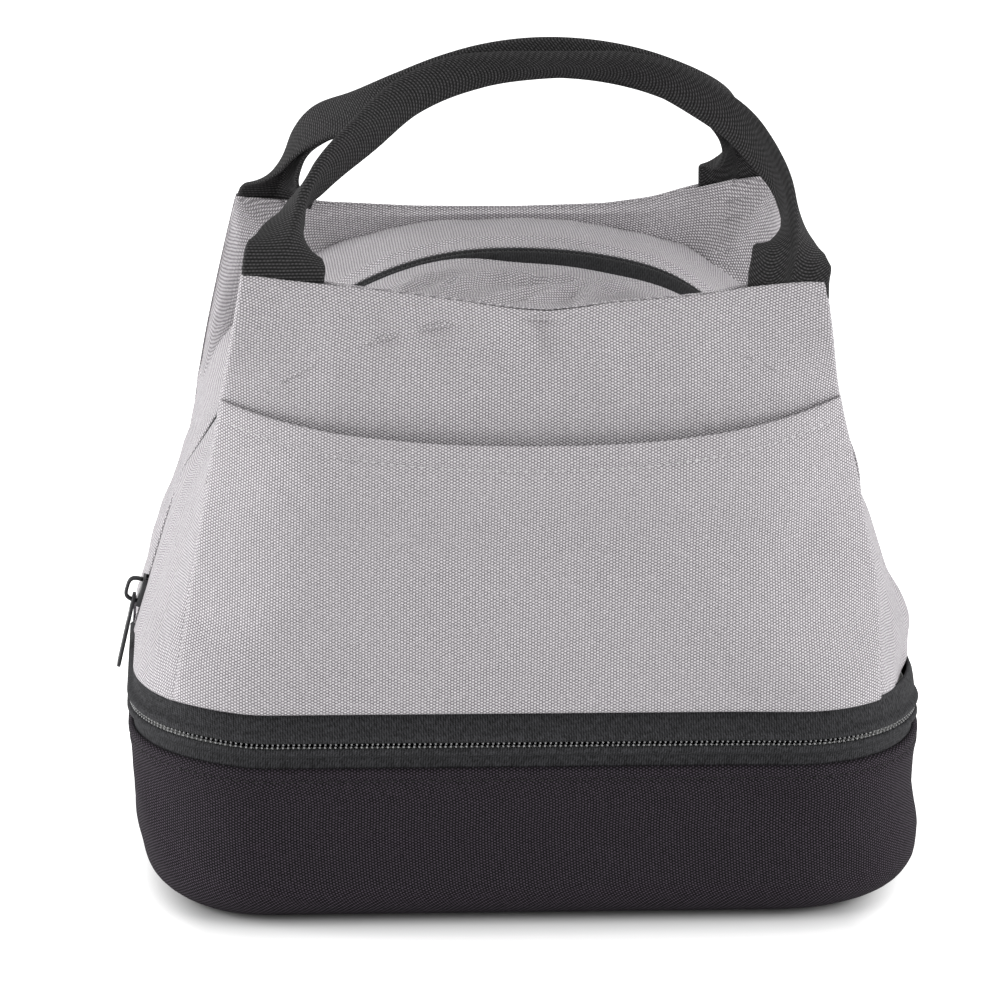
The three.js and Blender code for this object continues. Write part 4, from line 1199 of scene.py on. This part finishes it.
# Main zip. It runs up one side, over the dome and down the other, between the two gussets, with
# the same tape as the base's zip and black teeth.
parked_top = 95
main_cloth = tape_weave("main_zip_tape_cloth", 0.024)
tooth_black, _ = speckled(
    "tooth_black", 1400, 1, (0.012, 0.012, 0.012), (0.035, 0.035, 0.036), Roughness=0.45,
    Specular_IOR_Level=0.4)
tape_under = 3.4
left_parked = len(line_height) - int(np.sum(station_height < parked_top)) - 1
for side, half in ((front, "front"), (rear, "rear")):
    last = left_parked if side == front else len(line_height)
    edge = zip_edges[side]
    y = mix(0.2, edge + tape_under, np.linspace(0, 1, 15)[:, None])
    top = 0.75 - 1.1 * smooth(y, 0.5, 1.3)
    top = top + 0.7 * smooth(y, edge - 2.4, edge - 0.9) + 1.15 * smooth(y, edge - 1.2, edge + 0.1)
    face, back = [gusset_point(y, top + depth, side)[:, :last] for depth in (0, tape)]
    main_tape = cloth_body(f"main_zip_tape_{half}_cloth", face, back, main_cloth)
    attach(main_tape, f"{half}_half")
    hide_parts(f"main_zip_tape_{half}")
    whole = np.ones((1, len(zip_line)))
    line = gusset_point(whole * tooth_offset, whole * 0.2, side)[0, :last]
    outward = np.stack([zip_normals[:last, 0], np.zeros(last), zip_normals[:last, 1]], 1)
    line, outward = trimmed(line, 0.0 if side == front else tooth_pitch / 2, outward)
    teeth = beads(f"main_zip_teeth_{half}", [(line, outward)], tooth_pitch, tooth_size, tooth_black,
                  tooth_slant)
    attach(teeth, f"{half}_half")
    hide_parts(f"main_zip_coil_{half}")

# Zip garage. A patch of zip tape cloth behind the parked main slider, sewn to the back half.
garage_width, garage_depths = 11.4, (3.9, 5.1)
on_left = np.arange(len(line_height) - 1, left_parked - 2, -1)
garage_rows = []
for depth in garage_depths:
    x, z = (zip_line[on_left] - zip_normals[on_left] * depth).T
    garage_rows.append(np.stack([np.stack([x, np.full(len(x), y), np.maximum(z, body_foot - 1.1)], 1)
                                 for y in np.linspace(-garage_width / 2, garage_width / 2, 9)]))
garage = cloth_body("main_zip_garage_cloth", *garage_rows, zip_cloth)
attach(garage, "rear_half")
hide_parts("main_zip_garage")

# Handles. Black polypropylene webbing, 25 mm wide. It leaves the flap flat, then folds in half
# lengthwise, turns on its side at a narrow neck and goes over the top on edge, ridge uppermost.
webbing_finish = Finish("black_webbing", Specular_IOR_Level=0.3)
across, along = webbing_finish.cut()
along = along + (webbing_finish.noise(300, 1) - 0.5) * 0.25
rib, dash = 1.1, 0.6
rows = webbing_finish.cosine(along * (2 * math.pi / rib)) * 0.5 + 0.5
dashes = webbing_finish.cosine(along * (math.pi / rib)) * webbing_finish.cosine(across * (math.pi / dash))
dashes = dashes * 0.5 + 0.5
fuzz = webbing_finish.noise(900, 2)
share = (rows ** 1.2 * (dashes * 0.8 + 0.3) + (fuzz - 0.5) * 0.4).held()
colour = webbing_finish.mixed(share, (0.001, 0.001, 0.001, 1), (0.057, 0.055, 0.057, 1))
webbing_finish.feed("Base Color", colour)
webbing_finish.feed("Roughness", 0.9 - share * 0.15)
webbing_finish.raised(share, 0.00035, 0.8)

webbing_width, webbing_thickness = 25, 1.6
fold_radius = 0.95

# Each row: x, y, z of the middle of what shows from the front, how far each half is folded back from
# flat, and how far the folded pair is turned from pointing behind to pointing inwards, in degrees
front_handle_rows = [
    (-80.2, -60.2, 206.0, 0, 0), (-80.2, -60.2, 214.4, 0, 0), (-79.6, -59.9, 219.5, 3, 0),
    (-78.3, -57.5, 224.5, 22, 0), (-76.6, -52.0, 229.5, 50, 0), (-74.4, -46.5, 233.7, 70, 3),
    (-72.4, -42.4, 237.0, 80, 12), (-68.0, -36.3, 241.2, 86, 38), (-54.0, -22.5, 251.4, 90, 72),
    (-37.6, -9.8, 262.4, 90, 85), (-24.3, -5.4, 267.4, 90, 80), (-10.0, -3.6, 269.8, 90, 58),
    (3.3, -3.2, 270.6, 90, 46), (21.4, -3.2, 270.8, 90, 44), (33.0, -3.8, 270.2, 90, 52),
    (45.7, -6.0, 266.8, 90, 66), (59.6, -11.6, 260.2, 90, 74), (68.2, -17.5, 255.0, 90, 68),
    (75.8, -26.5, 247.6, 88, 48), (81.6, -37.0, 239.6, 85, 20), (83.4, -43.5, 234.8, 80, 6),
    (84.0, -50.0, 230.4, 60, 0), (83.6, -56.4, 225.2, 30, 0), (82.4, -59.8, 219.5, 3, 0),
    (81.6, -60.2, 214.4, 0, 0), (81.6, -60.2, 206.0, 0, 0),
]
rear_handle_rows = [
    (-81.2, 61.4, 206.0, 0, 0), (-80.8, 61.3, 211.0, 10, 0), (-79.8, 60.8, 215.5, 30, 0),
    (-78.0, 58.0, 221.0, 54, 0), (-76.0, 54.0, 227.0, 72, 4), (-72.6, 46.5, 234.8, 84, 20),
    (-65.6, 34.5, 243.0, 90, 50), (-54.5, 22.2, 249.4, 90, 74), (-40.2, 9.5, 258.6, 90, 82),
    (-24.6, 5.2, 265.8, 90, 80), (-12.5, 4.4, 269.4, 90, 76), (3.5, 4.2, 271.6, 90, 74),
    (21.7, 4.2, 271.0, 90, 74), (38.3, 5.2, 267.6, 90, 78), (52.0, 8.4, 262.2, 90, 82),
    (63.0, 16.0, 255.4, 90, 76), (70.5, 27.5, 247.0, 86, 54), (74.6, 40.0, 239.6, 76, 26),
    (76.4, 49.5, 234.6, 54, 6), (77.8, 57.0, 229.4, 26, 0), (78.8, 60.3, 223.8, 4, 0),
    (79.2, 61.2, 216.4, 0, 0), (79.6, 61.4, 206.0, 0, 0),
]


def eased(rows, spacing=1.3):
    """The rows at an even spacing, on a smooth line through them."""
    rows = np.asarray(rows, float)
    knots = np.concatenate([[0], np.cumsum(np.linalg.norm(np.diff(rows[:, :3], axis=0), axis=1))])
    slope = np.gradient(rows, knots, axis=0)
    spots = np.linspace(0, knots[-1], int(knots[-1] / spacing) + 1)
    cell = np.clip(np.searchsorted(knots, spots, "right") - 1, 0, len(knots) - 2)
    span = (knots[cell + 1] - knots[cell])[:, None]
    t = (spots[:, None] - knots[cell][:, None]) / span
    return ((2 * t ** 3 - 3 * t ** 2 + 1) * rows[cell] + (t ** 3 - 2 * t ** 2 + t) * span * slope[cell]
            + (3 * t ** 2 - 2 * t ** 3) * rows[cell + 1] + (t ** 3 - t ** 2) * span * slope[cell + 1])


def folded_half(fold, count=22):
    """Places across one half of the webbing from the ridge to its selvage: how far sideways, how
    far behind, and how far the cloth has turned there."""
    spots = np.concatenate([np.linspace(0, 2.0, 8), np.linspace(2.0, webbing_width / 2, count - 7)[1:]])
    angle = np.minimum(spots / fold_radius, fold)
    bent = fold_radius * fold
    beyond = np.maximum(spots - bent, 0)
    sideways = fold_radius * np.sin(angle) + beyond * math.cos(fold)
    behind = fold_radius * (1 - np.cos(angle)) + beyond * math.sin(fold)
    return sideways, behind, angle


def handle(name, rows, side):
    path = eased(rows)
    centre = path[:, :3]
    tangent = np.gradient(centre, axis=0)
    tangent /= np.linalg.norm(tangent, axis=1, keepdims=True)
    outer = np.tile([0.0, side, 0.0], (len(path), 1))
    outer -= np.sum(outer * tangent, axis=1, keepdims=True) * tangent
    outer /= np.linalg.norm(outer, axis=1, keepdims=True)
    inward = np.cross(tangent, outer) * -side
    fold = np.radians(np.clip(path[:, 3], 0, 90))
    turn = np.radians(np.clip(path[:, 4], 0, 90))
    face_rows, back_rows = [], []
    for i in range(len(path)):
        c, s = math.cos(turn[i]), math.sin(turn[i])
        behind_way, side_way = inward[i] * s - outer[i] * c, inward[i] * c + outer[i] * s
        reach = webbing_width / 4 * math.sin(fold[i])
        ridge = centre[i] - (inward[i] * s - outer[i] * c * s) * reach
        sideways, behind, angle = folded_half(fold[i])
        sideways = np.concatenate([-sideways[::-1][:-1], sideways])
        behind = np.concatenate([behind[::-1][:-1], behind])
        angle = np.concatenate([-angle[::-1][:-1], angle])
        middle = ridge + sideways[:, None] * side_way + behind[:, None] * behind_way
        facing = np.sin(angle)[:, None] * side_way - np.cos(angle)[:, None] * behind_way
        face_rows.append(middle + facing * webbing_thickness / 2)
        back_rows.append(middle - facing * webbing_thickness / 2)
    return cloth_body(name, np.stack(face_rows), np.stack(back_rows), webbing_finish)


for side, half, rows in ((front, "front", front_handle_rows), (rear, "rear", rear_handle_rows)):
    strap = handle(f"{half}_handle_webbing", rows, side)
    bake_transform(strap)
    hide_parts(f"{half}_handle")
    for end, middle in (("left", rows[0][0]), ("right", rows[-1][0])):
        x = middle + np.linspace(-12.4, 12.4, 21)[None, :]
        z = np.linspace(195.9, 205.6, 8)[:, None]
        x, z = np.broadcast_arrays(x, z)
        face, back = [np.stack([x, side * (panel_depth(x, z, side) + unevenness(x, z, side) - depth), z], 2)
                      for depth in (1.5, 3.1)]
        tuck = cloth_body(f"{half}_handle_end_{end}_webbing", face, back, webbing_finish)
        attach(tuck, f"{half}_half")
        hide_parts(f"{half}_handle_end_{end}")

# Zip sliders and pulls. Black-plated die-cast sliders, each with a bail that holds a long slotted
# pull with a raised rim.
black_metal, rubbed = speckled(
    "black_metal", 420, 3, (0.022, 0.022, 0.024), (0.05, 0.05, 0.053), Metallic=0.75,
    Specular_IOR_Level=0.5, Coat_Weight=0.15)
black_metal.feed("Roughness", rubbed * 0.2 + 0.28)
black_metal.raised(rubbed, 0.00008, 0.3)

plate_top, plate_bottom, slider_half_width, slider_length = -2.1, 3.6, 3.8, 10


def rounded_box(work, low, high, taper=0.0):
    """A box in the slider's frame, narrowed towards the zip's lower end by a share."""
    corners = [(x, y * (1 - taper * (z == low[2])), z)
               for x, y, z in itertools.product(*zip(low, high))]
    verts = [work.verts.new(Vector(c) * 0.001) for c in corners]
    for ring in ((0, 1, 3, 2), (4, 6, 7, 5), (0, 4, 5, 1), (2, 3, 7, 6), (0, 2, 6, 4), (1, 5, 7, 3)):
        work.faces.new([verts[i] for i in ring])


def swept(work, path, width, thickness, up):
    """A bar of rounded rectangular section along a path in one plane."""
    path = np.asarray(path, float)
    along = np.gradient(path, axis=0)
    along /= np.linalg.norm(along, axis=1, keepdims=True)
    up = np.asarray(up, float)
    rings = []
    for point, direction in zip(path, along):
        side_way = np.cross(direction, up)
        side_way /= np.linalg.norm(side_way)
        ring = []
        for angle in np.linspace(0, 2 * math.pi, 12, endpoint=False):
            c, s = math.cos(angle), math.sin(angle)
            a = math.copysign(abs(c) ** 0.6, c) * width / 2
            b = math.copysign(abs(s) ** 0.6, s) * thickness / 2
            ring.append(work.verts.new(Vector(point + up * a + side_way * b) * 0.001))
        rings.append(ring)
    for first, second in zip(rings, rings[1:]):
        for i in range(12):
            work.faces.new((first[i], first[(i + 1) % 12], second[(i + 1) % 12], second[i]))
    work.faces.new(rings[0][::-1])
    work.faces.new(rings[-1])


def slider(name, place):
    work = bmesh.new()
    half, length = slider_half_width, slider_length / 2
    rounded_box(work, (plate_top, -half, -length), (plate_top + 1, half, length), 0.18)
    rounded_box(work, (plate_bottom - 1, -half, -length), (plate_bottom, half, length), 0.18)
    for edge in (-1, 1):
        low, high = sorted((edge * half, edge * (half - 0.8)))
        rounded_box(work, (plate_top + 0.2, low, -length), (0.95, high, length), 0.12)
    rounded_box(work, (plate_top + 0.5, -0.4, length - 4.2), (plate_bottom - 0.5, 0.4, length - 0.3))
    bmesh.ops.recalc_face_normals(work, faces=work.faces)
    bmesh.ops.bevel(work, geom=list(work.edges), offset=0.00022, segments=2, profile=0.6, affect="EDGES")
    foot, crown, reach = plate_top + 0.4, plate_top - 4.35, 3.95
    bail = [(mix(foot, crown, math.sin(a) ** 0.55), 0,
             -reach * math.copysign(abs(math.cos(a)) ** 0.55, math.cos(a)))
            for a in np.linspace(0.12, math.pi - 0.12, 19)]
    swept(work, [(foot, 0, -reach), *bail, (foot, 0, reach)], 2.0, 1.3, (0, 1, 0))
    work.transform(place)
    return metal_piece(name, work)


def metal_piece(name, work):
    mesh = bpy.data.meshes.new(name)
    bmesh.ops.recalc_face_normals(work, faces=work.faces)
    work.to_mesh(mesh)
    work.free()
    mesh.shade_smooth()
    mesh.materials.append(black_metal.material)
    made = bpy.data.objects.new(name, mesh)
    bpy.context.scene.collection.objects.link(made)
    return made


def pull(name, place):
    """A long tab with round ends, hung by its eye, with a slot and a raised rim all round."""
    half, top, foot, rim = 3.2, 0.7, -26.3, 1.4

    def outline(inset, high, low, round_share, count=10):
        w = half - inset
        r = w * round_share
        corners = [(w - r, high - r), (r - w, high - r), (r - w, low + r), (w - r, low + r)]
        angles = [[math.radians(90 * (turn + i / count)) for i in range(count + 1)] for turn in range(4)]
        return [(x + r * math.cos(a), z + r * math.sin(a))
                for (x, z), quarter_turn in zip(corners, angles) for a in quarter_turn]

    work = bmesh.new()
    eye_top, eye_bottom, slot_top = -0.7, -4.9, -9.0
    outer = outline(0, top, foot, 0.75)
    holes = [outline(rim, eye_top, eye_bottom, 0.6), outline(rim, slot_top, foot + rim, 0.8)]
    borders = []
    for loop in [outer, *holes]:
        verts = [work.verts.new((0, x * 0.001, z * 0.001)) for x, z in loop]
        borders += [work.edges.new((verts[i], verts[(i + 1) % len(verts)])) for i in range(len(verts))]
    bmesh.ops.triangle_fill(work, use_beauty=True, use_dissolve=False, edges=borders, normal=(1, 0, 0))
    faces = list(work.faces)
    grown = bmesh.ops.extrude_face_region(work, geom=faces)
    moved = [g for g in grown["geom"] if isinstance(g, bmesh.types.BMVert)]
    thickness = 0.0012
    bmesh.ops.translate(work, verts=moved, vec=(thickness, 0, 0))
    bmesh.ops.translate(work, verts=list(work.verts), vec=(-thickness / 2, 0, 0))
    bmesh.ops.recalc_face_normals(work, faces=work.faces)
    sharp = [e for e in work.edges if len(e.link_faces) == 2 and e.calc_face_angle() > 1.2]
    bmesh.ops.bevel(work, geom=sharp, offset=0.0003, segments=2, profile=0.6, affect="EDGES")
    work.transform(place)
    return metal_piece(name, work)


def placed(origin, turn):
    place = turn.to_4x4()
    place.translation = Vector(origin) * 0.001
    return place


main_turn, main_hang = Matrix.Rotation(zip_lean, 3, "Y"), Matrix.Rotation(math.radians(12.5), 3, "Y")
base_turn, base_hang = Matrix(((-1, 0, 0), (0, 0, 1), (0, 1, 0))), Matrix.Rotation(math.radians(90), 3, "Z")
for name, body, make, spot, turn in (
    ("main_zip_slider", "main_slider", slider, (-125.788, 0, 88.0), main_turn),
    ("base_zip_slider", "base_slider", slider, (131, 31, 65), base_turn),
    ("main_zip_pull", "main_pull", pull, (-129.663, 0, 86.822), main_hang),
    ("base_zip_pull", "base_pull", pull, (137.45, 31, 67.0), base_hang),
):
    made = make(name + "_metal", placed(spot, turn))
    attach(made, body)
    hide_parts(name)
